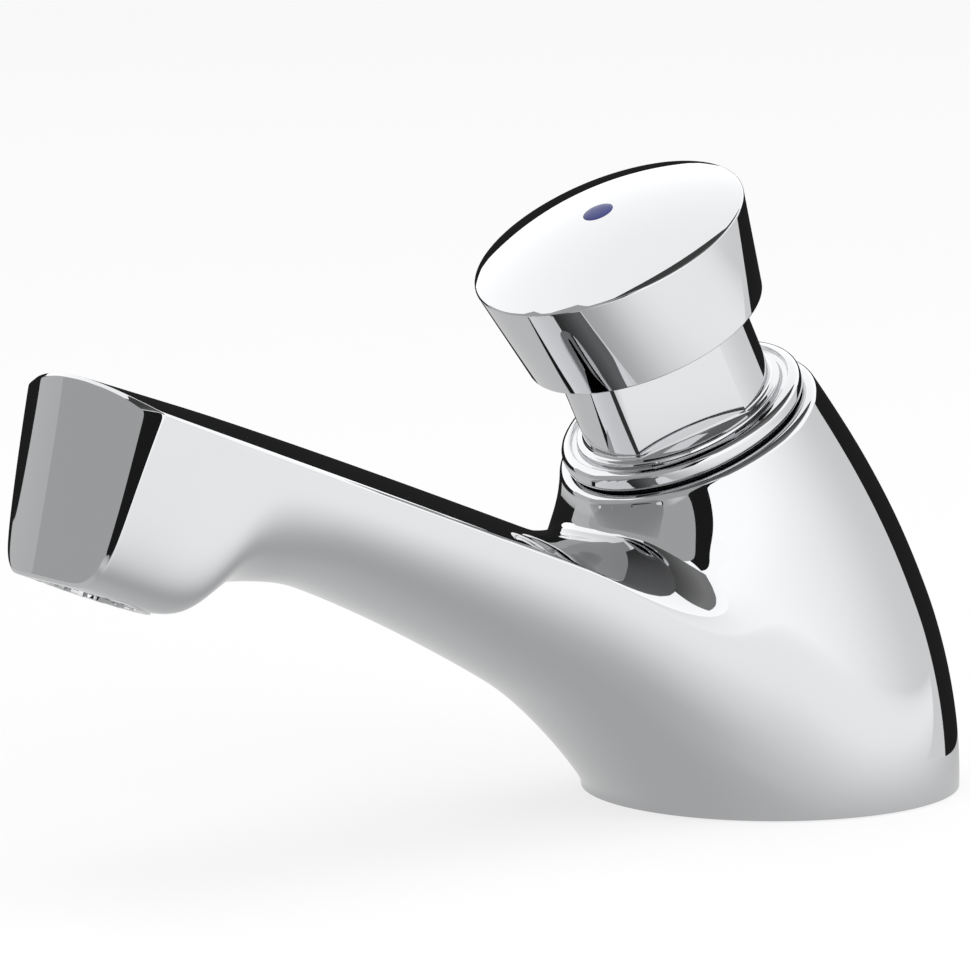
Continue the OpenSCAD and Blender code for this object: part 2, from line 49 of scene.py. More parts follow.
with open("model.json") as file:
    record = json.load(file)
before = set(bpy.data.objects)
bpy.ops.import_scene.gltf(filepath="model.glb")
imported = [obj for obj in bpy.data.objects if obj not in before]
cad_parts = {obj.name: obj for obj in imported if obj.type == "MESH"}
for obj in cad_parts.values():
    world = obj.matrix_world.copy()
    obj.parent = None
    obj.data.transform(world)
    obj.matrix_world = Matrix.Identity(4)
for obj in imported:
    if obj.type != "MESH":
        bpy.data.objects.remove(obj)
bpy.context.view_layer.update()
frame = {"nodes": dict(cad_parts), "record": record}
MM = 0.001
ARC_STEP = math.radians(18)
BODY = "tap_body"
BUTTON = "push_unit"


def length(name, description, default):
    return FloatProperty(name=name, description=description, default=default * MM, unit="LENGTH",
                         precision=5)


def angle(name, description, default):
    return FloatProperty(name=name, description=description, default=math.radians(default), unit="ROTATION")


def share(name, description, default):
    return FloatProperty(name=name, description=description, default=default, subtype="FACTOR")


def colour(name, description, default):
    return FloatVectorProperty(name=name, description=description, default=default, subtype="COLOR", size=3)


class TapCastingSizes(bpy.types.PropertyGroup):
    """Sizes of the cast body and its spout."""

    foot_radius: length("Foot radius", "Radius of the round foot", 27)
    lean: angle("Lean", "Lean of the button axis towards the spout", 26.7)
    axis_back: length("Axis foot", "Where the button axis meets the basin, behind the foot centre", 11)
    lip_along: length("Lip", "Distance of the collar lip along the button axis", 59.5)
    lip_radius: length("Lip radius", "Outer radius of the collar lip", 19.4)
    lip_round: length("Lip rounding", "Rounding of the collar lip", 1.2)
    swell: length("Swell", "How much the back swells between foot and collar", 2.2)
    reach: length("Reach", "Distance from the foot centre to the outlet centre", 119)
    deck_rise: angle("Deck rise", "Rise of the spout deck", 22.3)
    root_height: length("Root height", "Height of the deck edge at the spout root", 31)
    root_reach: length("Root reach", "Distance of that root point from the foot centre", 29)
    nose_half: length("Nose half-width", "Half-width of the deck at the nose", 15)
    root_half: length("Root half-width", "Half-width of the deck at the root", 20)
    nose_crown: length("Nose crown", "Crown of the deck at the nose", 2.1)
    root_crown: length("Root crown", "Crown of the deck at the root", 4.2)
    thickness: length("Thickness", "Least thickness of the spout under its deck edge", 14.7)
    nose_height: length("Nose height", "Height of the nose square to the deck", 25.4)
    nose_ahead: length("Nose ahead", "How far the nose runs on in front of the outlet centre", 6.4)
    nose_lean: angle("Nose lean", "Lean of the nose front over the outlet", 11)
    nose_bow: length("Nose bow", "Bow of the nose front in plan", 3.5)
    nose_chamfer: length("Nose chamfer", "Width of the chamfer on the nose's side edges", 1.9)
    nose_step: length("Nose step", "Depth of that chamfer from the front", 1.2)
    chin_radius: length("Chin radius", "Half-width of the outlet's round chin", 11)
    outlet_radius: length("Outlet radius", "Radius of the outlet bore", 8.04)
    outlet_depth: length("Outlet depth", "Depth of the outlet bore", 9.5)


class TapButtonSizes(bpy.types.PropertyGroup):
    """Sizes of the bonnet and the push button, heights along the button axis."""

    flange_radius: length("Flange radius", "Radius of the bonnet's flange bead", 17.8)
    flange_height: length("Flange height", "Height of the flange bead", 3.4)
    neck_radius: length("Neck radius", "Radius of the bonnet's neck", 13.9)
    neck_height: length("Neck height", "Top of the neck above the lip", 20.5)
    flats_across: length("Across flats", "Distance across the two spanner flats", 22.8)
    flats_turn: angle("Flats turn", "Turn of the spanner flats about the button axis", -30)
    pocket_radius: length("Pocket radius", "Radius of the spring pocket", 9.8)
    gland_height: length("Gland height", "Height of the gland floor above the lip", 6.5)
    rim_radius: length("Rim radius", "Radius of the cap's rim", 20)
    skirt_radius: length("Skirt radius", "Radius of the cap at the foot of its skirt", 17.4)
    cap_lift: length("Cap lift", "Height of the cap's lower edge above the lip", 16.5)
    skirt_height: length("Skirt height", "Height of the cap from lower edge to rim", 14.8)
    skirt_lip: length("Skirt lip", "Thickness of the lip that closes the skirt's foot", 2)
    dome: length("Dome", "Rise of the dome over its rim", 4.2)
    top_wall: length("Top wall", "Thickness of the cap's top at the rim plane", 2.8)
    index_radius: length("Index radius", "Radius of the blue index disc", 2.2)
    travel_left: share("Spring keep", "Share of the spring's height left at full travel", 0.68)
    wire_radius: length("Wire radius", "Radius of the spring wire", 0.75)
    spring_turns: IntProperty(name="Turns", description="Turns of the return spring", default=7)


class TapFixingSizes(bpy.types.PropertyGroup):
    """Sizes of the inlet tail, its fixing and the aerator."""

    tail_radius: length("Tail radius", "Radius over the tail's thread", 10.48)
    tail_bore: length("Tail bore", "Radius of the water bore", 7)
    tail_length: length("Tail length", "Length of the tail below the basin plane", 48)
    thread_pitch: length("Thread pitch", "Pitch of the half-inch pipe thread", 1.814)
    thread_depth: length("Thread depth", "Depth of the thread", 0.9)
    nut_across: length("Nut across flats", "Distance across the backnut's flats", 30)
    aerator_radius: length("Aerator radius", "Radius of the aerator housing", 8)
    aerator_height: length("Aerator height", "Length of the aerator housing", 8)
    aerator_wall: length("Aerator wall", "Wall of the aerator housing", 1.1)
    notches: IntProperty(name="Notches", description="Notches round the aerator's mouth", default=16)


class TapFinishes(bpy.types.PropertyGroup):
    """Colours of the finishes."""

    chrome: colour("Chrome", "Reflected colour of the plating", (0.62, 0.625, 0.635))
    brass: colour("Brass", "Machined brass", (0.74, 0.55, 0.26))
    steel: colour("Steel", "Satin stainless steel", (0.62, 0.63, 0.65))
    rubber: colour("Rubber", "Black rubber", (0.022, 0.022, 0.024))
    acetal: colour("Acetal", "Off-white moulded plastic", (0.80, 0.78, 0.71))
    jet: colour("Jet plastic", "Grey moulded plastic of the jet insert", (0.45, 0.46, 0.47))
    index: colour("Index blue", "Gloss blue of the index disc", (0.04, 0.048, 0.17))


class TapStageSizes(bpy.types.PropertyGroup):
    """The camera and the studio round the tap."""

    camera_turn: angle("Camera turn", "Turn of the camera from the front towards the right", 51.51)
    camera_height: angle("Camera height", "Height of the camera over the horizon", 9.97)
    camera_away: length("Camera distance", "Distance of the camera from its target", 1463.4)
    target: FloatVectorProperty(name="Target", description="Point that the camera looks at", subtype="XYZ",
                                unit="LENGTH", default=(0, -0.0517, 0.04849), precision=5)
    lens: FloatProperty(name="Lens", description="Focal length", default=393, unit="CAMERA")
    card_away: length("Card distance", "Distance of the studio cards", 800)
    card_light: FloatProperty(name="Card light", description="Strength of a white card", default=1.58)


# Small tools for edit mode

def leave_edit():
    if bpy.context.object and bpy.context.object.mode == "EDIT":
        bpy.ops.object.mode_set(mode="OBJECT")


def deselect():
    leave_edit()
    bpy.ops.object.select_all(action="DESELECT")


def edit_mesh():
    return bmesh.from_edit_mesh(bpy.context.object.data)


def show_edit():
    bmesh.update_edit_mesh(bpy.context.object.data)


def pick(piece):
    """Makes a piece the only selected and active one."""
    deselect()
    piece.select_set(True)
    bpy.context.view_layer.objects.active = piece


def select_where(kind, test):
    """Selects the vertices, edges or faces that pass a test, and nothing else."""
    bpy.ops.mesh.select_mode(type=kind)
    bpy.ops.mesh.select_all(action="DESELECT")
    mesh = edit_mesh()
    for part in {"VERT": mesh.verts, "EDGE": mesh.edges, "FACE": mesh.faces}[kind]:
        if test(part):
            part.select_set(True)
    mesh.select_flush_mode()
    show_edit()


def apply_modifier(piece, kind, **values):
    """Adds a modifier with its values and applies it."""
    pick(piece)
    modifier = piece.modifiers.new(kind.title(), kind)
    for name, value in values.items():
        setattr(modifier, name, value)
    bpy.ops.object.modifier_apply(modifier=modifier.name)


def recalculate(piece, merge=1e-6):
    """Merges doubles, drops faces without area and turns the rest outwards."""
    pick(piece)
    bpy.ops.object.mode_set(mode="EDIT")
    bpy.ops.mesh.select_all(action="SELECT")
    bpy.ops.mesh.remove_doubles(threshold=merge)
    bpy.ops.mesh.dissolve_degenerate(threshold=merge)
    bpy.ops.mesh.normals_make_consistent(inside=False)
    leave_edit()


def cut_away(piece, cutter):
    """Cuts another mesh out of a piece and deletes the cutter."""
    apply_modifier(piece, "BOOLEAN", operation="DIFFERENCE", solver="EXACT", object=cutter)
    bpy.data.objects.remove(cutter)


def cut_box(piece, matrix):
    """Cuts a cube of one metre, sized and placed by a matrix, out of a piece."""
    deselect()
    bpy.ops.mesh.primitive_cube_add(size=1)
    cutter = bpy.context.object
    place_by(cutter, matrix)
    cut_away(piece, cutter)


def bevel(piece, width, limit):
    """Bevels the edges that are sharper than an angle in degrees."""
    apply_modifier(piece, "BEVEL", width=width, segments=2, limit_method="ANGLE",
                   angle_limit=math.radians(limit), use_clamp_overlap=True)


def smooth(piece, limit=35):
    pick(piece)
    bpy.ops.object.shade_smooth_by_angle(angle=math.radians(limit))


def settle(piece, name, body, nodes, material):
    """Names a finished piece, gives it its finish and hangs it on its body."""
    deselect()
    piece.name = name
    piece.data.name = name
    piece.data.materials.clear()
    piece.data.materials.append(material)
    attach(piece, body)
    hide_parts(*nodes)
    return piece


def place_by(piece, matrix):
    """Puts a piece drawn at the origin in its place, with the place in its mesh."""
    pick(piece)
    piece.matrix_world = matrix
    bpy.ops.object.transform_apply(location=True, rotation=True, scale=True)


def on_button_axis(along=0.0):
    """The frame of the leaning button axis."""
    body = bpy.context.scene.tap_casting
    turn = Matrix.Rotation(body.lean, 4, "X")
    return Matrix.Translation((0, body.axis_back, 0)) @ turn @ Matrix.Translation((0, 0, along))


def at_outlet(along=0.0):
    """The frame of the outlet, with its axis up into the nose."""
    form = CastingForm(bpy.context.scene.tap_casting)
    turn = Matrix.Rotation(-form.sizes.deck_rise, 4, "X")
    place = Matrix.Translation((0, -form.sizes.reach, form.outlet_height()))
    return place @ turn @ Matrix.Translation((0, 0, along))


# Turned pieces

def softened(corners):
    """A profile of (radius, height, rounding) corners, with an arc at each rounding."""
    points = []
    count = len(corners)
    for i, (r, z, rounding) in enumerate(corners):
        here = Vector((r, z))
        if rounding == 0:
            points.append(here)
            continue
        before = (Vector(corners[i - 1][:2]) - here).normalized()
        after = (Vector(corners[(i + 1) % count][:2]) - here).normalized()
        half = before.angle(after) / 2
        run = rounding / math.tan(half)
        centre = here + (before + after).normalized() * (rounding / math.sin(half))
        start = here + before * run - centre
        sweep = start.angle_signed(here + after * run - centre)
        steps = max(2, round(abs(sweep) / ARC_STEP))
        for k in range(steps + 1):
            points.append(centre + Matrix.Rotation(-sweep * k / steps, 2) @ start)
    return points


def draw_profile(points):
    """A line through (radius, height) points, extruded from one vertex; leaves edit mode on."""
    deselect()
    bpy.ops.mesh.primitive_plane_add(size=MM)
    bpy.ops.object.mode_set(mode="EDIT")
    bpy.ops.mesh.select_mode(type="VERT")
    bpy.ops.mesh.select_all(action="SELECT")
    bpy.ops.mesh.merge(type="CENTER")
    here = Vector()
    for i, (r, z) in enumerate(points):
        there = Vector((r, 0, z))
        if i == 0:
            bpy.ops.transform.translate(value=there)
        else:
            bpy.ops.mesh.extrude_region_move(TRANSFORM_OT_translate={"value": there - here})
        here = there


def turned(points, steps=96):
    """A piece spun from a closed profile of (radius, height) points about the Z axis."""
    draw_profile([*points, points[0]])
    bpy.ops.mesh.select_all(action="SELECT")
    bpy.ops.mesh.spin(steps=steps, angle=math.tau, center=(0, 0, 0), axis=(0, 0, 1))
    leave_edit()
    piece = bpy.context.object
    recalculate(piece)
    return piece


def ring_of(inner, outer, low, high, rounding, steps=96):
    """A turned ring with softened edges."""
    return turned(softened([(inner, low, rounding), (outer, low, rounding),
                            (outer, high, rounding), (inner, high, rounding)]), steps)


def bar_of(radius, low, high, steps=64):
    """A plain round cutter along the Z axis."""
    deselect()
    bpy.ops.mesh.primitive_cylinder_add(vertices=steps, radius=radius, depth=high - low,
                                        location=(0, 0, (low + high) / 2))
    bpy.ops.object.transform_apply(location=True)
    return bpy.context.object


# The casting

def eased(t):
    held = min(1.0, max(0.0, t))
    return held * held * (3 - 2 * held)


def spread(count, support):
    """Shares from 0 to 1 with one extra share close to the end, which keeps an edge crisp."""
    return [(1 - support) * k / (count - 1) for k in range(count)] + [1.0]


class CastingForm:
    """Surfaces of the casting: a leaning shell, and a spout that runs into a hole in its front."""

    # Columns round the shell, half the hole's columns, and rows beside the hole and above it
    columns, half_hole, hole_rows, collar_rows = 36, 6, 8, 4
    # Shares of the shell's height: the hole's foot, and its top at the front and far round the sides
    hole_foot, hole_front, hole_back = 0.03, 0.95, 0.46
    # The turn at which the hole's top has fallen half-way, and the power that it falls with
    hole_bend, hole_fall = math.radians(60), 4
    # Rings between shell and spout, how far past the root they end, and rings of the spout
    bridge_loops, bridge_past_root, stations = 6, 18 * MM, 24
    # Where a section's points lie over half its deck, down its flank and under half its width
    deck_shares = spread(half_hole, 0.055)
    flank_shares = [0, 0.055, 0.2, 0.36, 0.52, 0.67, 0.8, 0.91, 1.0]
    under_shares = [0, 0.18, 0.36, 0.53, 0.7, 0.86, 1.0]
    # Headings at the hole's upper and lower corners in degrees, and the forward lean below the spout
    top_turn, under_turn, under_lean = 60, 55, 0.8
    # The collar's front: how much it widens, the turn that halves it, and the height share it grows over
    flare_out, flare_turn, flare_drop = 5.5 * MM, math.radians(55), 0.18
    # How firmly the bridge leaves the shell and meets the spout, at the deck, the flank and the underside
    shell_pull, spout_pull = (0.4, 0.9, 0.6), (0.8, 0.9, 0.8)
    # Squareness of the spout's sections, and what the nose adds to it
    spout_boxy, nose_boxy = 2.2, 6
    # Distances behind the outlet centre: start of the nose, start and end of the chin's steep part,
    # and the thinnest place of the spout, from which the chin's slow part grows
    nose_behind, arch_behind, chin_behind, thin_behind = 22 * MM, 16.5 * MM, 7 * MM, 35 * MM
    # The slow part's share of the chin
    chin_early = 0.5
    # Where the spout's underside is most flared, in front of the foot
    flare_ahead = 3.5 * MM
    # Shares of the chamfer's width and depth at each ring of the nose's edge, and the ring set inside them
    nose_turns = ((0.0, 0.0), (0.04, 0.1), (0.16, 0.24), (0.5, 0.55), (0.86, 0.9), (1.0, 1.0))
    nose_inset = 0.8 * MM

    def __init__(self, sizes):
        self.sizes = sizes
        self.nose_reach = sizes.reach + sizes.nose_ahead
        self.arch_reach = sizes.reach - self.arch_behind
        self.chin_reach = sizes.reach - self.chin_behind
        self.thin_reach = sizes.reach - self.thin_behind
        self.flare_reach = sizes.foot_radius + self.flare_ahead
        self.bridge_reach = sizes.root_reach + self.bridge_past_root
        self.shell_top = sizes.lip_along - sizes.lip_round

    def axis_point(self, along):
        s = self.sizes
        return Vector((0, s.axis_back - along * math.sin(s.lean), along * math.cos(s.lean)))

    def ring_point(self, centre, radius, lean, turn):
        """A point of a round section; turn 0 is the front."""
        front = -radius * math.cos(turn)
        return centre + Vector((radius * math.sin(turn), front * math.cos(lean), front * math.sin(lean)))

    def shell(self, t, turn):
        """A point of the shell; t runs from the foot to the collar."""
        s = self.sizes
        bend = Vector((0, 0, s.axis_back / math.tan(s.lean)))
        centre = 2 * t * (1 - t) * bend + t * t * self.axis_point(self.shell_top)
        radius = s.foot_radius + (s.lip_radius - s.foot_radius) * t + s.swell * 4 * t * (1 - t)
        return self.ring_point(centre, radius + self.flare(t, turn), s.lean * t, turn)

    def flare(self, t, turn):
        """How much the collar's front widens below its lip."""
        front = 1 / (1 + abs(math.remainder(turn, math.tau) / self.flare_turn) ** 6)
        fall = min(1, max(0, 1 - t) / self.flare_drop) ** 1.5 * eased(t / (1 - self.flare_drop))
        return self.flare_out * front * fall

    def turn_of(self, column):
        return math.tau * column / self.columns

    def side_of(self, column):
        """The column counted from the front, to both sides."""
        return column if column <= self.columns // 2 else column - self.columns

    def hole_top(self, turn):
        """Share of the shell's height at which the hole ends."""
        fall = 1 / (1 + abs(turn / self.hole_bend) ** self.hole_fall)
        return self.hole_back + (self.hole_front - self.hole_back) * fall

    def row_share(self, row, column):
        """Height share of a row of the shell; rows follow the hole's edges."""
        top = self.hole_top(self.turn_of(self.side_of(column)))
        last = 1 + self.hole_rows
        if row == 0:
            return 0.0
        if row <= last:
            return self.hole_foot + (top - self.hole_foot) * (row - 1) / self.hole_rows
        return top + (1 - top) * (row - last) / self.collar_rows

    def shell_row(self, row):
        return [self.shell(self.row_share(row, c), self.turn_of(c)) for c in range(self.columns)]

    def collar_ring(self, radius, along):
        centre, lean = self.axis_point(along), self.sizes.lean
        return [self.ring_point(centre, radius, lean, self.turn_of(c)) for c in range(self.columns)]

    def deck_height(self, reach):
        s = self.sizes
        return s.root_height + (reach - s.root_reach) * math.tan(s.deck_rise)

    def outlet_height(self):
        s = self.sizes
        return self.deck_height(s.reach) - s.nose_height / math.cos(s.deck_rise)

    def along(self, reach):
        return (reach - self.sizes.root_reach) / (self.nose_reach - self.sizes.root_reach)

    def half_width(self, reach):
        s = self.sizes
        a = self.along(reach)
        return s.root_half + (s.nose_half - s.root_half) * a * (2 - a)

    def crown(self, reach):
        s = self.sizes
        return s.root_crown + (s.nose_crown - s.root_crown) * max(0, self.along(reach)) ** 3

    def depth(self, reach):
        """Depth of the spout under its deck edge: flared at the foot, arched, deep at the nose."""
        s = self.sizes
        v = min(1.04, max(0, (self.thin_reach - reach) / (self.thin_reach - self.flare_reach)))
        flare = 0.5 * s.thickness * (v ** 1.8 + 0.7 * v ** 14)
        early = eased((reach - self.thin_reach) / (self.chin_reach - self.thin_reach))
        late = eased((reach - self.arch_reach) / (self.chin_reach - self.arch_reach))
        chin = self.chin_early * early + (1 - self.chin_early) * late
        return flare + (s.thickness + (s.nose_height - s.thickness) * chin) / math.cos(s.deck_rise)

    def nose_share(self, reach):
        return eased(1 + (reach - self.sizes.reach) / self.nose_behind)

    def section(self, reach):
        """(across, up) points of a section: deck, right flank, underside, left flank."""
        s = self.sizes
        wide, deep, nose = self.half_width(reach), self.depth(reach), self.nose_share(reach)
        boxy = self.spout_boxy + self.nose_boxy * nose
        taper = (1 - s.chin_radius / s.nose_half) * nose
        corner = 2 ** (-1 / boxy)

        def other(v):
            return (1 - abs(v) ** boxy) ** (1 / boxy)

        half = self.half_hole
        deck = [math.copysign(self.deck_shares[abs(i)], i) for i in range(-half, half + 1)]
        points = [(wide * u, self.crown(reach) * (1 - u * u)) for u in deck]
        flank = [corner * g for g in self.flank_shares[1:]]
        right = [(wide * other(g) * (1 - taper * g), -deep * g) for g in flank]
        under = [corner * math.copysign(self.under_shares[abs(i)], i) for i in range(half - 1, -half, -1)]
        points += right
        points += [(wide * u * (1 - taper * other(u)), -deep * other(u)) for u in under]
        points += [(-x, z) for x, z in reversed(right)]
        return points

    def place(self, reach, x, z, push=0.0):
        """A section's point in space; the nose is bowed and leans forward."""
        s = self.sizes
        nose, deep = self.nose_share(reach), self.depth(reach)
        rise = z + deep / 2
        bow = s.nose_bow * (x / self.half_width(reach)) ** 2 * nose
        ahead = reach + push - bow - rise * math.tan(s.nose_lean) * nose
        return Vector((x, -ahead, self.deck_height(ahead) - deep / 2 + rise))

    def ring_at(self, reach):
        return [self.place(reach, x, z) for x, z in self.section(reach)]

    def nose_rings(self):
        """Rings that chamfer the nose's edges, wide at the deck and narrow at the chin."""
        s = self.sizes
        rings = [self.drawn_in(inset * s.nose_chamfer, (push - 1) * s.nose_step)
                 for inset, push in self.nose_turns]
        rings.append(self.drawn_in(s.nose_chamfer + self.nose_inset, 0.0))
        return rings

    def drawn_in(self, inset, push):
        """A section at the nose, made narrower and lower and set back, most of all at its sides."""
        wide, deep = self.half_width(self.nose_reach), self.depth(self.nose_reach)
        ring = []
        for x, z in self.section(self.nose_reach):
            part = 0.3 + 0.95 * abs(x / wide) ** 6
            low = 1 - 0.5 * inset / deep
            ring.append(self.place(self.nose_reach, x * (1 - part * inset / wide),
                                   (z + deep / 2) * low - deep / 2, part * push))
        return ring

    def heading(self, row, column, turn):
        """Direction on the shell into the hole: 0 is up, 90 towards the front, 180 down."""
        step = 1e-3
        t, around = self.row_share(row, column), self.turn_of(column)
        here = self.shell(t, around)
        up = (self.shell(t + step, around) - here).normalized()
        ahead = (self.shell(t, around - math.copysign(step, column)) - here).normalized()
        return up * math.cos(math.radians(turn)) + ahead * math.sin(math.radians(turn))

    def hole_edge(self):
        """(point, heading, weights of deck, flank and underside) round the hole, in a section's order."""
        half, rows = self.half_hole, self.hole_rows
        edge = []

        def add(row, column, turn, weights, lean=0.0):
            way = (self.heading(row, column, turn) + Vector((0, -lean, 0))).normalized()
            edge.append((self.shell(self.row_share(row, column), self.turn_of(column)), way, weights))

        def flank(row, side):
            v = (1 + rows - row) / rows
            turn = 180 - self.top_turn + (self.top_turn - 90) * eased(v / 0.5)
            add(row, side * half, turn - (90 - self.under_turn) * eased((v - 0.4) / 0.6), (0, 1, 0))

        for c in range(-half, half + 1):
            u = abs(c) / half
            add(1 + rows, c, 180 - self.top_turn * u ** 2, (1 - u ** 4, u ** 4, 0))
        for row in range(rows, 0, -1):
            flank(row, 1)
        for c in range(half - 1, -half, -1):
            u = abs(c) / half
            add(1, c, self.under_turn * u ** 1.5, (0, u ** 3, 1 - u ** 3), self.under_lean * (1 - u * u))
        for row in range(1, rows + 1):
            flank(row, -1)
        return edge

    def bridge_rings(self):
        """Rings that carry the hole's edge into the spout in smooth curves."""
        edge = self.hole_edge()
        ends, next_ends = self.ring_at(self.bridge_reach), self.ring_at(self.bridge_reach + MM)
        rings = []
        for k in range(1, self.bridge_loops + 1):
            u = k / (self.bridge_loops + 1)
            ring = []
            for (start, way, weights), end, after in zip(edge, ends, next_ends):
                span = (end - start).length
                leave = span * sum(w * p for w, p in zip(weights, self.shell_pull))
                arrive = span * sum(w * p for w, p in zip(weights, self.spout_pull))
                ring.append((2 * u ** 3 - 3 * u ** 2 + 1) * start + (u ** 3 - 2 * u ** 2 + u) * leave * way
                            + (3 * u ** 2 - 2 * u ** 3) * end
                            + (u ** 3 - u ** 2) * arrive * (after - end).normalized())
            rings.append(ring)
        return rings

    def spout_rings(self):
        last = self.nose_reach - 1.25 * self.sizes.nose_step - self.nose_inset
        run = (last - self.bridge_reach) / (self.stations - 1)
        return [self.ring_at(self.bridge_reach + run * k) for k in range(self.stations)]


def spot(point):
    """A place as a key, rounded to a tenth of a micron."""
    return tuple(round(c, 7) for c in Vector(point))


def vertices_at(points):
    """Indices of the edit mesh's vertices at the given places."""
    mesh = edit_mesh()
    mesh.verts.index_update()
    known = {spot(v.co): v.index for v in mesh.verts}
    return [known[spot(p)] for p in points]


def select_ring(points):
    ring = set(vertices_at(points))
    select_where("VERT", lambda v: v.index in ring)


def lay_ring(old, new):
    """Extrudes the selected ring that lies on the old points, and lays the copy on the new ones."""
    bpy.ops.mesh.extrude_region_move()
    mesh = edit_mesh()
    mesh.verts.ensure_lookup_table()
    fresh = {}
    for v in mesh.verts:
        if v.select:
            fresh.setdefault(spot(v.co), v)
    for a, b in zip(old, new):
        fresh[spot(a)].co = b
    show_edit()


def lay_rings(rings):
    """Extrudes the first ring along all the others."""
    select_ring(rings[0])
    for old, new in zip(rings, rings[1:]):
        lay_ring(old, new)


def crease_rings(rings):
    """Keeps the edges of these rings sharp when the mesh is subdivided."""
    sharp = [set(vertices_at(ring)) for ring in rings]
    mesh = edit_mesh()
    layer = mesh.edges.layers.float.get("crease_edge") or mesh.edges.layers.float.new("crease_edge")
    for e in mesh.edges:
        if any(all(v.index in ring for v in e.verts) for ring in sharp):
            e[layer] = 1.0
    show_edit()


def close_ring(ring):
    """Closes a round ring with a face drawn in to a point."""
    centre = sum((Vector(p) for p in ring), Vector()) / len(ring)
    lay_rings([ring, [centre + (Vector(p) - centre) * 0.3 for p in ring]])
    bpy.ops.mesh.merge(type="CENTER")


# The gasket's groove in the sole: its walls' distances from the foot's edge, and its depth
GROOVE_OUTER, GROOVE_INNER, GROOVE_DEPTH = 2.5 * MM, 7.5 * MM, 2 * MM
# The screwed part of the bonnet: its bottom below the lip
SCREW_FOOT = -9.5 * MM


class TAP_OT_casting(bpy.types.Operator):
    """Models the chromed casting: shell, collar, spout, nose, foot and bores"""

    bl_idname = "tap.casting"
    bl_label = "Casting"

    # (radius, height over the lip) of the stepped bore from the collar's lip down to the valve
    bores = ((16.5 * MM, 0), (16.5 * MM, -2.1 * MM), (14.54 * MM, -2.1 * MM), (14.54 * MM, SCREW_FOOT),
             (12.94 * MM, SCREW_FOOT), (12.94 * MM, -34.5 * MM), (7.5 * MM, -34.5 * MM),
             (7.5 * MM, -47 * MM))
    # Depth of the tail's socket, and radius and depth of the water way over the outlet bore
    socket_depth = 7.5 * MM
    way_radius, way_depth = 6.5 * MM, 6 * MM

    def execute(self, context):
        form = CastingForm(context.scene.tap_casting)
        s = form.sizes
        fixing = context.scene.tap_fixing
        deselect()
        bpy.ops.mesh.primitive_circle_add(vertices=form.columns, radius=s.foot_radius)
        bpy.ops.object.mode_set(mode="EDIT")
        foot = form.shell_row(0)
        mesh = edit_mesh()
        for v, point in zip(mesh.verts, foot):
            v.co = point
        show_edit()
        rows = [form.shell_row(r) for r in range(2 + form.hole_rows + form.collar_rows)]
        lip = [form.collar_ring(s.lip_radius - s.lip_round * (1 - math.cos(a)),
                                form.shell_top + s.lip_round * math.sin(a))
               for a in (math.pi / 6, math.pi / 3, math.pi / 2)]
        wells = [form.collar_ring(r, s.lip_along + along) for r, along in self.bores]
        lay_rings(rows + lip + wells)
        close_ring(wells[-1])
        half, edge = form.half_hole, [point for point, way, weights in form.hole_edge()]
        inside = vertices_at([rows[r][c % form.columns] for r in range(2, 1 + form.hole_rows)
                              for c in range(1 - half, half)])
        select_where("VERT", lambda v: v.index in set(inside))
        bpy.ops.mesh.delete(type="VERT")
        spout = [edge] + form.bridge_rings() + form.spout_rings() + form.nose_rings()
        lay_rings(spout)
        self.close_nose(spout[-1], form)
        outer, inner = s.foot_radius - GROOVE_OUTER, s.foot_radius - GROOVE_INNER
        under = [(outer, 0), (outer, GROOVE_DEPTH), (inner, GROOVE_DEPTH), (inner, 0),
                 (fixing.tail_radius, 0), (fixing.tail_radius, self.socket_depth)]
        soles = [[Vector((r * math.sin(form.turn_of(c)), -r * math.cos(form.turn_of(c)), z))
                  for c in range(form.columns)] for r, z in under]
        lay_rings([foot] + soles)
        close_ring(soles[-1])
        crease_rings([foot] + soles)
        crease_rings(wells[1:])
        leave_edit()
        piece = context.object
        recalculate(piece)
        apply_modifier(piece, "SUBSURF", levels=2, render_levels=2)
        outlet = bar_of(s.outlet_radius, -4 * MM, s.outlet_depth, 96)
        place_by(outlet, at_outlet())
        cut_away(piece, outlet)
        water_way = bar_of(self.way_radius, s.outlet_depth - MM, s.outlet_depth + self.way_depth)
        place_by(water_way, at_outlet())
        cut_away(piece, water_way)
        recalculate(piece, 0.002 * MM)
        smooth(piece, 40)
        settle(piece, "casting", BODY, ["body_casting"], finish("chrome_body"))
        return {"FINISHED"}

    def close_nose(self, ring, form):
        """Fills the nose front with a grid of quads between the ring's four sides."""
        wide, high = 2 * form.half_hole, form.hole_rows
        count = len(ring)
        mesh = edit_mesh()
        mesh.verts.ensure_lookup_table()
        edge = [mesh.verts[i] for i in vertices_at(ring)]
        top, right = edge[:wide + 1], edge[wide:wide + high + 1]
        under = [edge[i % count] for i in range(2 * wide + high, wide + high - 1, -1)]
        left = [edge[-k % count] for k in range(high + 1)]
        grid = [[None] * (wide + 1) for _ in range(high + 1)]
        grid[0], grid[high] = list(top), list(under)
        for k in range(1, high):
            v = k / high
            grid[k][0], grid[k][wide] = left[k], right[k]
            for i in range(1, wide):
                u = i / wide
                sides = top[i].co * (1 - v) + under[i].co * v + left[k].co * (1 - u) + right[k].co * u
                corners = (top[0].co * (1 - u) * (1 - v) + top[wide].co * u * (1 - v)
                           + under[0].co * (1 - u) * v + under[wide].co * u * v)
                grid[k][i] = mesh.verts.new(sides - corners)
        for k in range(high):
            for i in range(wide):
                mesh.faces.new((grid[k][i], grid[k][i + 1], grid[k + 1][i + 1], grid[k + 1][i]))
        show_edit()


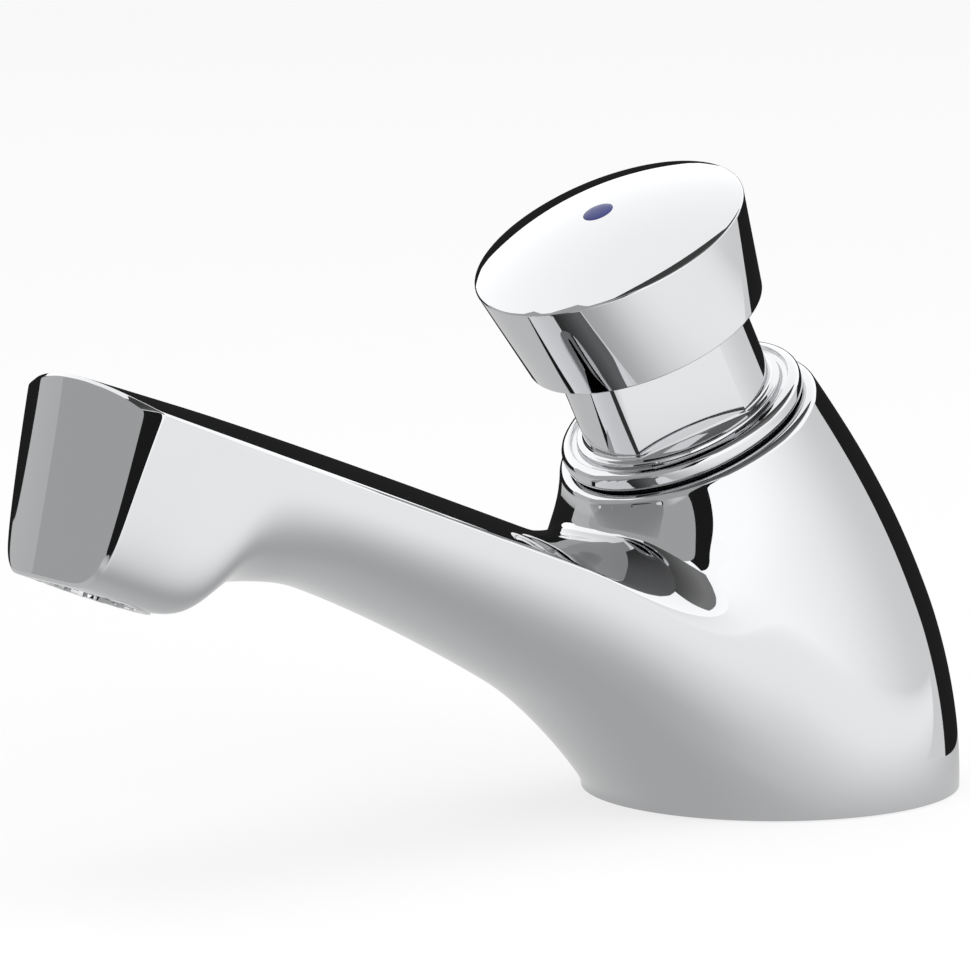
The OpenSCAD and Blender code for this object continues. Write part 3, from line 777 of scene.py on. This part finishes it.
class TAP_OT_bonnet(bpy.types.Operator):
    """Models the bonnet with its flange rings, neck and two spanner flats"""

    bl_idname = "tap.bonnet"
    bl_label = "Bonnet"

    def execute(self, context):
        b = context.scene.tap_button
        screw, inside, hole = 14.5 * MM, 10 * MM, 3.05 * MM
        gland_foot = -2.5 * MM
        top, bead = b.flange_height, b.flange_height / 2
        outer_ring, inner_ring, slope = 16.3 * MM, 15.1 * MM, 0.2 * MM
        valley = top * 0.72
        piece = turned(softened([
            (hole, b.gland_height, 0.2 * MM), (hole, gland_foot, 0.2 * MM), (inside, gland_foot, 0),
            (inside, SCREW_FOOT, 0.3 * MM), (screw, SCREW_FOOT, 0.5 * MM), (screw, 0, 0),
            (b.flange_radius, 0.05 * MM, bead * 0.7), (b.flange_radius, top * 0.8, bead * 0.6),
            (outer_ring, top * 0.95, 0.3 * MM), (outer_ring - slope, valley, 0.2 * MM),
            (inner_ring + slope, valley, 0.2 * MM), (inner_ring, top, 0.25 * MM),
            (b.neck_radius, top, 0.6 * MM), (b.neck_radius, b.neck_height, 0.9 * MM),
            (b.pocket_radius, b.neck_height, 0.3 * MM), (b.pocket_radius, b.gland_height, 0.4 * MM)]), 128)
        for side in (0, math.pi):
            wide = b.neck_radius
            low, high = b.flange_height + 0.1 * MM, b.neck_height + MM
            shape = Matrix.Diagonal((wide, 3 * wide, high - low, 1))
            out = Matrix.Translation((b.flats_across / 2 + wide / 2, 0, (low + high) / 2))
            cut_box(piece, Matrix.Rotation(b.flats_turn + side, 4, "Z") @ out @ shape)
        bevel(piece, 0.14 * MM, 40)
        recalculate(piece, 0.002 * MM)
        place_by(piece, on_button_axis(context.scene.tap_casting.lip_along))
        smooth(piece, 30)
        settle(piece, "bonnet_chrome", BODY, ["bonnet"], finish("chrome_body"))
        return {"FINISHED"}


def dome_height(b, r):
    """Height of the cap's dome over its rim plane at a radius."""
    ball = (b.rim_radius ** 2 + b.dome ** 2) / (2 * b.dome)
    return b.dome - ball + math.sqrt(ball * ball - r * r)


class TAP_OT_button(bpy.types.Operator):
    """Models the push cap with its flared skirt and dome, and the blue index disc"""

    bl_idname = "tap.button"
    bl_label = "Push button"

    def execute(self, context):
        b = context.scene.tap_button
        foot = context.scene.tap_casting.lip_along + b.cap_lift
        rim = foot + b.skirt_height
        ceiling = rim - b.top_wall
        inner, cavity = b.neck_radius + 0.4 * MM, b.skirt_radius - 1.9 * MM
        boss, rod, boss_foot, rod_top = 6 * MM, 3.02 * MM, ceiling - 7 * MM, ceiling - 0.5 * MM
        edge, rim_run = 0.45 * MM, 0.35 * MM
        outside = softened([(inner, foot, 0), (b.skirt_radius, foot, 0.3 * MM),
                            (b.rim_radius, rim - edge, 0)])[:-1]
        steps = 20
        start = b.rim_radius - rim_run
        radii = [start + (b.index_radius - start) * k / steps for k in range(steps + 1)]
        dome = [Vector((r, rim + dome_height(b, r))) for r in radii]
        corner = softened([(*outside[-1], 0), (b.rim_radius, rim - 0.05 * MM, 0.4 * MM),
                           (*dome[1], 0)])[1:-1]
        floor = rim + b.dome - 2 * MM
        inside = [(b.index_radius, floor), (0, floor), (0, rod_top), (rod, rod_top), (rod, boss_foot),
                  (boss, boss_foot), (boss, ceiling), (cavity, ceiling), (cavity, foot + b.skirt_lip),
                  (inner, foot + b.skirt_lip)]
        piece = turned(outside + corner + dome[1:] + [Vector(p) for p in inside], 160)
        place_by(piece, on_button_axis())
        smooth(piece, 32)
        settle(piece, "push_cap", BUTTON, ["button_cap"], finish("chrome_button"))

        top = rim + b.dome
        disc = b.index_radius - 0.02 * MM
        crown = [Vector((disc * math.cos(a), top - 0.1 * MM + 0.35 * MM * math.sin(a)))
                 for a in [math.pi / 2 * k / 8 for k in range(9)]]
        piece = turned([Vector((0, floor)), Vector((disc, floor))] + crown, 64)
        place_by(piece, on_button_axis())
        smooth(piece, 40)
        settle(piece, "index_lens", BUTTON, ["index_disc"], finish("index_blue"))
        return {"FINISHED"}


class TAP_OT_spring(bpy.types.Operator):
    """Winds the return spring with closed ends"""

    bl_idname = "tap.spring"
    bl_label = "Return spring"

    def execute(self, context):
        b = context.scene.tap_button
        lip = context.scene.tap_casting.lip_along
        low = lip + b.gland_height + b.wire_radius
        high = lip + b.cap_lift + b.skirt_height - b.top_wall - b.wire_radius
        coil = b.pocket_radius - 0.4 * MM - b.wire_radius
        turn_steps = 32
        steps = turn_steps * b.spring_turns
        curve = bpy.data.curves.new("spring_wire", "CURVE")
        curve.dimensions = "3D"
        curve.bevel_depth = b.wire_radius
        curve.bevel_resolution = 4
        curve.use_fill_caps = True
        line = curve.splines.new("POLY")
        line.points.add(steps)
        for k, point in enumerate(line.points):
            a = math.tau * k / turn_steps
            point.co = (coil * math.cos(a), coil * math.sin(a), low + (high - low) * k / steps, 1)
        piece = bpy.data.objects.new("spring_wire", curve)
        context.scene.collection.objects.link(piece)
        pick(piece)
        bpy.ops.object.convert(target="MESH")
        piece = context.object
        place_by(piece, on_button_axis())
        smooth(piece, 60)
        settle(piece, "spring_wire", BODY, ["return_spring"], finish("steel"))
        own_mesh(piece)
        return {"FINISHED"}


class TAP_OT_aerator(bpy.types.Operator):
    """Models the aerator's notched housing"""

    bl_idname = "tap.aerator"
    bl_label = "Aerator"

    def execute(self, context):
        f = context.scene.tap_fixing
        wall = f.aerator_radius - f.aerator_wall
        mouth, ledge = wall - 0.9 * MM, 1.2 * MM
        piece = turned([(wall, ledge), (mouth, ledge), (mouth, 0), (f.aerator_radius, 0),
                        (f.aerator_radius, f.aerator_height), (wall, f.aerator_height)], 6 * f.notches)
        low, high = mouth - MM, f.aerator_radius - 0.3 * MM
        wide, deep = math.pi * mouth / f.notches, 0.8 * MM
        size = Matrix.Diagonal((high - low, wide, 2 * deep, 1))
        shape = Matrix.Translation(((low + high) / 2, 0, 0)) @ size
        for k in range(f.notches):
            cut_box(piece, Matrix.Rotation(math.tau * k / f.notches, 4, "Z") @ shape)
        bevel(piece, 0.06 * MM, 40)
        recalculate(piece, 0.01 * MM)
        place_by(piece, at_outlet(0.15 * MM))
        smooth(piece, 30)
        settle(piece, "aerator_ring", BODY, ["aerator_housing"], finish("chrome_body"))
        return {"FINISHED"}


class TAP_OT_fixing(bpy.types.Operator):
    """Models the threaded tail, the washers, the gaskets and the backnut"""

    bl_idname = "tap.fixing"
    bl_label = "Fixing"

    def execute(self, context):
        f = context.scene.tap_fixing
        low, high = -f.tail_length, 7.3 * MM
        piece = self.threaded_bar(f, low, high)
        cutter = bar_of(f.tail_bore, low - MM, high + MM, 96)
        cut_away(piece, cutter)
        smooth(piece, 30)
        settle(piece, "inlet_tail", BODY, ["inlet_shank"], finish("brass"))
        for node, slot, rounding in (("base_gasket", "rubber", 0.3), ("basin_washer", "rubber", 0.5),
                                     ("clamp_washer", "steel", 0.25)):
            least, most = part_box(node)
            inner = f.tail_radius + 0.3 * MM
            if node == "base_gasket":
                inner = context.scene.tap_casting.foot_radius - GROOVE_INNER
            piece = ring_of(inner, most.x, least.z, most.z, rounding * MM)
            smooth(piece, 30)
            settle(piece, node + "_soft", BODY, [node], finish(slot))
        least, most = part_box("backnut")
        piece = self.nut(f, least.z, most.z)
        settle(piece, "backnut_brass", BODY, ["backnut"], finish("brass"))
        return {"FINISHED"}

    def threaded_bar(self, f, low, high):
        """A bar with a helical thread, cut square at both ends."""
        pitch, crest, root = f.thread_pitch, f.tail_radius, f.tail_radius - f.thread_depth
        tooth = [(root, 0.0), (root, 0.12), (crest, 0.44), (crest, 0.56), (root, 0.88), (root, 1.0)]
        turns = math.ceil((high - low) / pitch) + 3
        draw_profile([(r, low + pitch * (z - 1.5)) for r, z in tooth])
        leave_edit()
        piece = bpy.context.object
        apply_modifier(piece, "SCREW", angle=math.tau, screw_offset=pitch, iterations=turns, steps=48,
                       render_steps=48, use_merge_vertices=True, merge_threshold=1e-6)
        recalculate(piece)
        bpy.ops.object.mode_set(mode="EDIT")
        for height, way in ((low, -1), (high, 1)):
            bpy.ops.mesh.select_all(action="SELECT")
            bpy.ops.mesh.bisect(plane_co=(0, 0, height), plane_no=(0, 0, way), use_fill=True,
                                clear_outer=True)
        leave_edit()
        recalculate(piece)
        return piece

    def nut(self, f, low, high):
        """A hexagon nut with turned chamfers and a bore."""
        deselect()
        corner = f.nut_across / 2 / math.cos(math.pi / 6)
        bpy.ops.mesh.primitive_cylinder_add(vertices=6, radius=corner, depth=high - low,
                                            location=(0, 0, (low + high) / 2), rotation=(0, 0, math.pi / 6))
        bpy.ops.object.transform_apply(location=True, rotation=True)
        piece = bpy.context.object
        cone = f.nut_across / 2
        shape = turned([(0, low), (cone * 0.97, low), (corner * 1.01, low + 1.6 * MM),
                        (corner * 1.01, high - 0.6 * MM), (corner * 0.985, high), (0, high)], 96)
        apply_modifier(piece, "BOOLEAN", operation="INTERSECT", solver="EXACT", object=shape)
        bpy.data.objects.remove(shape)
        cut_away(piece, bar_of(f.tail_radius + 0.04 * MM, low - MM, high + MM, 96))
        recalculate(piece, 0.01 * MM)
        bevel(piece, 0.12 * MM, 35)
        recalculate(piece, 0.01 * MM)
        smooth(piece, 30)
        return piece


class TAP_OT_inner(bpy.types.Operator):
    """Gives the parts inside the tap their finishes"""

    bl_idname = "tap.inner"
    bl_label = "Inner parts"

    def execute(self, context):
        slots = {row["node"]: row["material_slot"] for row in frame["record"]["subparts"]}
        for node, piece in frame["nodes"].items():
            if not piece.hide_render:
                piece.data.materials.clear()
                piece.data.materials.append(finish(slots[node]))
        return {"FINISHED"}


# Finishes

def feed(tree, node, *places, **sockets):
    """Gives a node's sockets, by place or by name, a value or a link, and returns its outputs."""
    named = [(name.replace("_", " "), value) for name, value in sockets.items()]
    for key, value in [*enumerate(places), *named]:
        if isinstance(value, bpy.types.NodeSocket):
            tree.links.new(value, node.inputs[key])
        else:
            node.inputs[key].default_value = value
    return node.outputs


def wired(tree, kind, settings, *places, **sockets):
    """Outputs of a new shader node with its settings and its fed sockets."""
    node = tree.nodes.new("ShaderNode" + kind)
    for name, value in settings.items():
        setattr(node, name, value)
    return feed(tree, node, *places, **sockets)


def marks_group():
    """Fine marks on a surface: a roughness between two values, a mask and a height."""
    group = bpy.data.node_groups.get("fine_marks")
    if group:
        return group
    group = bpy.data.node_groups.new("fine_marks", "ShaderNodeTree")
    for name in ("Scale", "Stretch", "Smoothest", "Roughest"):
        group.interface.new_socket(name, in_out="INPUT", socket_type="NodeSocketFloat")
    for name in ("Roughness", "Mask", "Height"):
        group.interface.new_socket(name, in_out="OUTPUT", socket_type="NodeSocketFloat")
    given, end = group.nodes.new("NodeGroupInput").outputs, group.nodes.new("NodeGroupOutput")
    place = wired(group, "TexCoord", {})["Object"]
    stretch = wired(group, "CombineXYZ", {}, 1, 1, given["Stretch"])["Vector"]
    drawn = wired(group, "VectorMath", {"operation": "MULTIPLY"}, place, stretch)["Vector"]
    grain = wired(group, "TexNoise", {}, Vector=drawn, Scale=given["Scale"], Detail=4)["Fac"]
    cloud = wired(group, "TexNoise", {}, Vector=place, Scale=45)["Fac"]
    both = wired(group, "Math", {"operation": "MULTIPLY"}, grain, cloud)["Value"]
    span = wired(group, "MapRange", {}, both, 0.12, 0.42, given["Smoothest"], given["Roughest"])["Result"]
    feed(group, end, Roughness=span, Mask=cloud, Height=grain)
    return group


def marked(name, tint, other, metallic, smoothest, roughest, scale, stretch=1.0, bump=0.0, **plain):
    """A finish whose colour, roughness and relief vary with the fine marks."""
    material = bpy.data.materials.new(name)
    material.use_nodes = True
    tree = material.node_tree
    shader = tree.nodes["Principled BSDF"]
    marks = wired(tree, "Group", {"node_tree": marks_group()}, scale, stretch, smoothest, roughest)
    mix = wired(tree, "Mix", {"data_type": "RGBA"}, Factor=marks["Mask"], A=(*tint, 1), B=(*other, 1))
    feed(tree, shader, Metallic=metallic, Roughness=marks["Roughness"], Base_Color=mix["Result"], **plain)
    if bump:
        relief = wired(tree, "Bump", {}, Strength=bump, Distance=0.1 * MM, Height=marks["Height"])
        feed(tree, shader, Normal=relief["Normal"])
    return material


def shade(tint, factor):
    return tuple(min(1.0, c * factor) for c in tint)


def finish(slot):
    """The material of a slot, made when it is first asked for."""
    name = "tap_" + slot
    if name in bpy.data.materials:
        return bpy.data.materials[name]
    c = bpy.context.scene.tap_finishes
    if slot in ("chrome_body", "chrome_button"):
        return marked(name, c.chrome, shade(c.chrome, 0.975), 1, 0.012, 0.035, 900)
    if slot == "brass":
        return marked(name, c.brass, shade(c.brass, 0.86), 1, 0.16, 0.34, 700, 6, 0.12)
    if slot == "steel":
        return marked(name, c.steel, shade(c.steel, 0.9), 1, 0.2, 0.36, 900, 4, 0.08)
    if slot == "rubber":
        return marked(name, c.rubber, shade(c.rubber, 1.8), 0, 0.55, 0.8, 1400, 1, 0.25,
                      Specular_IOR_Level=0.4)
    if slot == "index_blue":
        return marked(name, c.index, shade(c.index, 1.25), 0, 0.2, 0.3, 500, Specular_IOR_Level=0.15)
    tint = c.acetal if slot == "acetal" else c.jet
    return marked(name, tint, shade(tint, 0.93), 0, 0.32, 0.5, 1100, 1, 0.08)


# The stage

def card_material(name, stops, run=None, fade=None):
    """A card's glow through stops of (place, grey) along a direction, or else of (turn about Z, grey).

    With a fade of two distances from the centre, the card clears between them."""
    material = bpy.data.materials.new(name)
    material.use_nodes = True
    tree = material.node_tree
    tree.nodes.remove(tree.nodes["Principled BSDF"])
    place = wired(tree, "TexCoord", {})["Object"]
    if run:
        along = wired(tree, "VectorMath", {"operation": "DOT_PRODUCT"}, place, run)["Value"]
    else:
        parts = wired(tree, "SeparateXYZ", {}, place)
        along = wired(tree, "Math", {"operation": "ARCTAN2"}, parts["Y"], parts["X"])["Value"]
    first, last = stops[0][0], stops[-1][0]
    level = wired(tree, "MapRange", {}, along, first, last)["Result"]
    shades = wired(tree, "ValToRGB", {}, level)["Color"]
    ramp = shades.node.color_ramp
    ramp.interpolation = "B_SPLINE"
    for _ in stops[2:]:
        ramp.elements.new(0.5)
    for mark, (value, grey) in zip(ramp.elements, stops):
        mark.position = (value - first) / (last - first)
        mark.color = (grey, grey, grey, 1)
    surface = wired(tree, "Emission", {}, shades, bpy.context.scene.tap_stage.card_light)["Emission"]
    if fade:
        away = wired(tree, "VectorMath", {"operation": "LENGTH"}, place)["Value"]
        clearing = wired(tree, "MapRange", {"interpolation_type": "SMOOTHSTEP"}, away, *fade)["Result"]
        clear = wired(tree, "BsdfTransparent", {})["BSDF"]
        surface = wired(tree, "MixShader", {}, clearing, surface, clear)["Shader"]
    feed(tree, tree.nodes["Material Output"], surface)
    return material


class TAP_OT_stage(bpy.types.Operator):
    """Sets the camera, the floor, the lamps and the studio cards that the chrome reflects"""

    bl_idname = "tap.stage"
    bl_label = "Stage"

    # Upright cards as (name, height, stops of turn and grey), turns in degrees from the front to the right
    walls = (
        ("card_back", 0.26, ((183, 0.012), (284, 0.012))),
        ("card_pale", 0.40, ((-76, 0.42), (-55, 0.40))),
        ("card_front", 0.75, ((-55, 0.33), (-42, 0.33))),
        ("card_tall", 1.15, ((-42, 0.33), (38, 0.33))),
        ("card_gap", 0.50, ((38, 0.010), (54, 0.010))),
        ("card_right", 0.30, ((54, 1.0), (82, 1.0), (105, 0.88), (128, 0.77), (154, 0.61), (183, 0.56))),
    )
    wall_foot = -0.35
    # The table's grey over a slanting width is a painted shadow of the tap: dark under the tap, paler to
    # both sides
    table_run = (1, 0.3, 0)
    table_shadow_greys = ((-0.12, 0.45), (-0.06, 0.47), (-0.02, 0.40), (0.003, 0.33), (0.022, 0.42), (0.036, 0.52),
                   (0.05, 0.62), (0.065, 0.69), (0.08, 0.745), (0.1, 0.79), (0.14, 0.80))
    table_fade = (0.15, 0.55)
    # The tent's grey over its height
    tent_greys = ((1.2, 1.0), (2.3, 0.88), (3.0, 0.84))
    # Level cards as (name, least and most corner, height, stops of grey, direction of the stops, fade)
    levels = (
        # card_table and card_far show the painted shadow of the tap on the floor in the chrome
        ("card_table", (-0.3, -0.4), (0.6, 0.05), -0.0001, table_shadow_greys, table_run, table_fade),
        ("card_far", (0.04, 0.05), (0.6, 0.5), -0.0001, table_shadow_greys, table_run, table_fade),
        ("card_base", (-0.85, -0.85), (0.85, 0.85), -0.35, ((0, 0.42), (1, 0.42)), (1, 0, 0), None),
        ("card_over", (-0.1, -0.7), (1.1, 0.7), 0.75, ((0.0, 0.015), (0.7, 0.2)), (1, 0, 0), None),
    )

    def execute(self, context):
        scene = context.scene
        scene.view_settings.view_transform = "Standard"
        scene.cycles.glossy_bounces = 2
        self.camera(scene)
        self.world(scene)
        self.floor()
        for row in self.walls:
            self.wall_card(scene, *row)
        for row in self.levels:
            self.level_card(*row)
        self.tent()
        self.lamp("lamp_over", (0.1, -0.1, 1.3), 1.2, 9)
        self.lamp("lamp_right", (1.2, 0.3, 0.7), 1.0, 7)
        return {"FINISHED"}

    def camera(self, scene):
        stage = scene.tap_stage
        a, e = stage.camera_turn, stage.camera_height
        back = Vector((math.sin(a) * math.cos(e), -math.cos(a) * math.cos(e), math.sin(e)))
        deselect()
        bpy.ops.object.camera_add(location=Vector(stage.target) + back * stage.camera_away)
        camera = bpy.context.object
        camera.rotation_euler = (-back).to_track_quat("-Z", "Y").to_euler()
        camera.data.lens = stage.lens
        camera.data.sensor_fit = "HORIZONTAL"
        camera.data.sensor_width = 36
        camera.data.clip_end = 20
        scene.camera = camera

    def world(self, scene):
        """White for the camera and in reflections, and dimmer as a light."""
        world = bpy.data.worlds.new("studio")
        world.use_nodes = True
        scene.world = world
        tree = world.node_tree
        path = wired(tree, "LightPath", {})
        seen = path["Is Camera Ray"]
        for ray in ("Is Glossy Ray", "Is Transmission Ray"):
            seen = wired(tree, "Math", {"operation": "MAXIMUM"}, seen, path[ray])["Value"]
        level = wired(tree, "MapRange", {}, seen, 0, 1, 0.55, 1)["Result"]
        feed(tree, tree.nodes["Background"], (1, 1, 1, 1), level)

    def floor(self):
        """A pale floor that mostly glows for the camera and is clear from below."""
        deselect()
        bpy.ops.mesh.primitive_plane_add(size=12, location=(0, 0, -0.2 * MM))
        floor = bpy.context.object
        floor.name = "floor"
        material = bpy.data.materials.new("floor_white")
        material.use_nodes = True
        tree = material.node_tree
        plain = feed(tree, tree.nodes["Principled BSDF"], Base_Color=(0.93, 0.93, 0.93, 1), Roughness=0.7,
                     Specular_IOR_Level=0)["BSDF"]
        glow = wired(tree, "Emission", {}, (1, 1, 1, 1))["Emission"]
        seen = wired(tree, "LightPath", {})["Is Camera Ray"]
        part = wired(tree, "Math", {"operation": "MULTIPLY"}, seen, 0.75)["Value"]
        lit = wired(tree, "MixShader", {}, part, plain, glow)["Shader"]
        below = wired(tree, "NewGeometry", {})["Backfacing"]
        clear = wired(tree, "BsdfTransparent", {})["BSDF"]
        both = wired(tree, "MixShader", {}, below, lit, clear)["Shader"]
        feed(tree, tree.nodes["Material Output"], both)
        floor.data.materials.append(material)
        floor.visible_glossy = False

    def wall_card(self, scene, name, high, stops):
        """A curved card that stands round the tap and shows only in its chrome."""
        away = scene.tap_stage.card_away
        turns = [(math.radians(turn - 90), grey) for turn, grey in stops]
        start, sweep = turns[0][0], turns[-1][0] - turns[0][0]
        draw_profile([(away, self.wall_foot), (away, high)])
        bpy.ops.mesh.select_all(action="SELECT")
        bpy.ops.mesh.spin(steps=24, angle=sweep, center=(0, 0, 0), axis=(0, 0, -1))
        leave_edit()
        card = bpy.context.object
        place_by(card, Matrix.Translation((0, -0.05, 0)) @ Matrix.Rotation(start, 4, "Z"))
        self.show_in_chrome(card, card_material(name, turns))

    def level_card(self, name, least, most, height, stops, run, fade):
        """A level card between two corners, whose grey runs along a direction."""
        deselect()
        bpy.ops.mesh.primitive_plane_add(size=1)
        card = bpy.context.object
        middle, size = (Vector(least) + Vector(most)) / 2, Vector(most) - Vector(least)
        place_by(card, Matrix.Translation((*middle, height)) @ Matrix.Diagonal((*size, 1, 1)))
        self.show_in_chrome(card, card_material(name, stops, run, fade))

    def tent(self):
        """A white tent round the studio, for the chrome alone."""
        deselect()
        bpy.ops.mesh.primitive_uv_sphere_add(segments=32, ring_count=16, radius=3)
        self.show_in_chrome(bpy.context.object, card_material("card_tent", self.tent_greys, (0, 0, 1)))

    def show_in_chrome(self, card, material):
        """Names a card after its material, and hides it from all but glossy rays."""
        card.name = material.name
        card.data.materials.append(material)
        card.visible_camera = False
        card.visible_diffuse = False
        card.visible_shadow = False

    def lamp(self, name, place, size, power):
        """A square lamp that faces the tap and shows in nothing."""
        deselect()
        bpy.ops.object.light_add(type="AREA", location=place)
        lamp = bpy.context.object
        lamp.name = name
        lamp.rotation_euler = (-Vector(place)).to_track_quat("-Z", "Y").to_euler()
        lamp.data.size = size
        lamp.data.energy = power
        lamp.visible_glossy = False
        lamp.visible_camera = False


class TAP_PT_panel(bpy.types.Panel):
    """Lists the tap's sizes and the steps that model it"""

    bl_idname = "TAP_PT_panel"
    bl_label = "Push timed tap"
    bl_space_type = "VIEW_3D"
    bl_region_type = "UI"
    bl_category = "Tap"

    def draw(self, context):
        for step in STEPS:
            self.layout.operator(step.bl_idname)
        for group in GROUPS:
            box = self.layout.box()
            settings = getattr(context.scene, group)
            for name in settings.bl_rna.properties.keys():
                if name not in ("name", "rna_type"):
                    box.prop(settings, name)


GROUPS = {
    "tap_casting": TapCastingSizes,
    "tap_button": TapButtonSizes,
    "tap_fixing": TapFixingSizes,
    "tap_finishes": TapFinishes,
    "tap_stage": TapStageSizes,
}
STEPS = (TAP_OT_stage, TAP_OT_casting, TAP_OT_bonnet, TAP_OT_button, TAP_OT_spring, TAP_OT_aerator,
         TAP_OT_fixing, TAP_OT_inner)


def register():
    for group, kind in GROUPS.items():
        bpy.utils.register_class(kind)
        setattr(bpy.types.Scene, group, PointerProperty(type=kind))
    for step in STEPS:
        bpy.utils.register_class(step)
    bpy.utils.register_class(TAP_PT_panel)


def unregister():
    bpy.utils.unregister_class(TAP_PT_panel)
    for step in reversed(STEPS):
        bpy.utils.unregister_class(step)
    for group, kind in GROUPS.items():
        delattr(bpy.types.Scene, group)
        bpy.utils.unregister_class(kind)


def main():
    register()
    for step in STEPS:
        group, name = step.bl_idname.split(".")
        getattr(getattr(bpy.ops, group), name)()
    deselect()


if __name__ == "__main__":
    main()
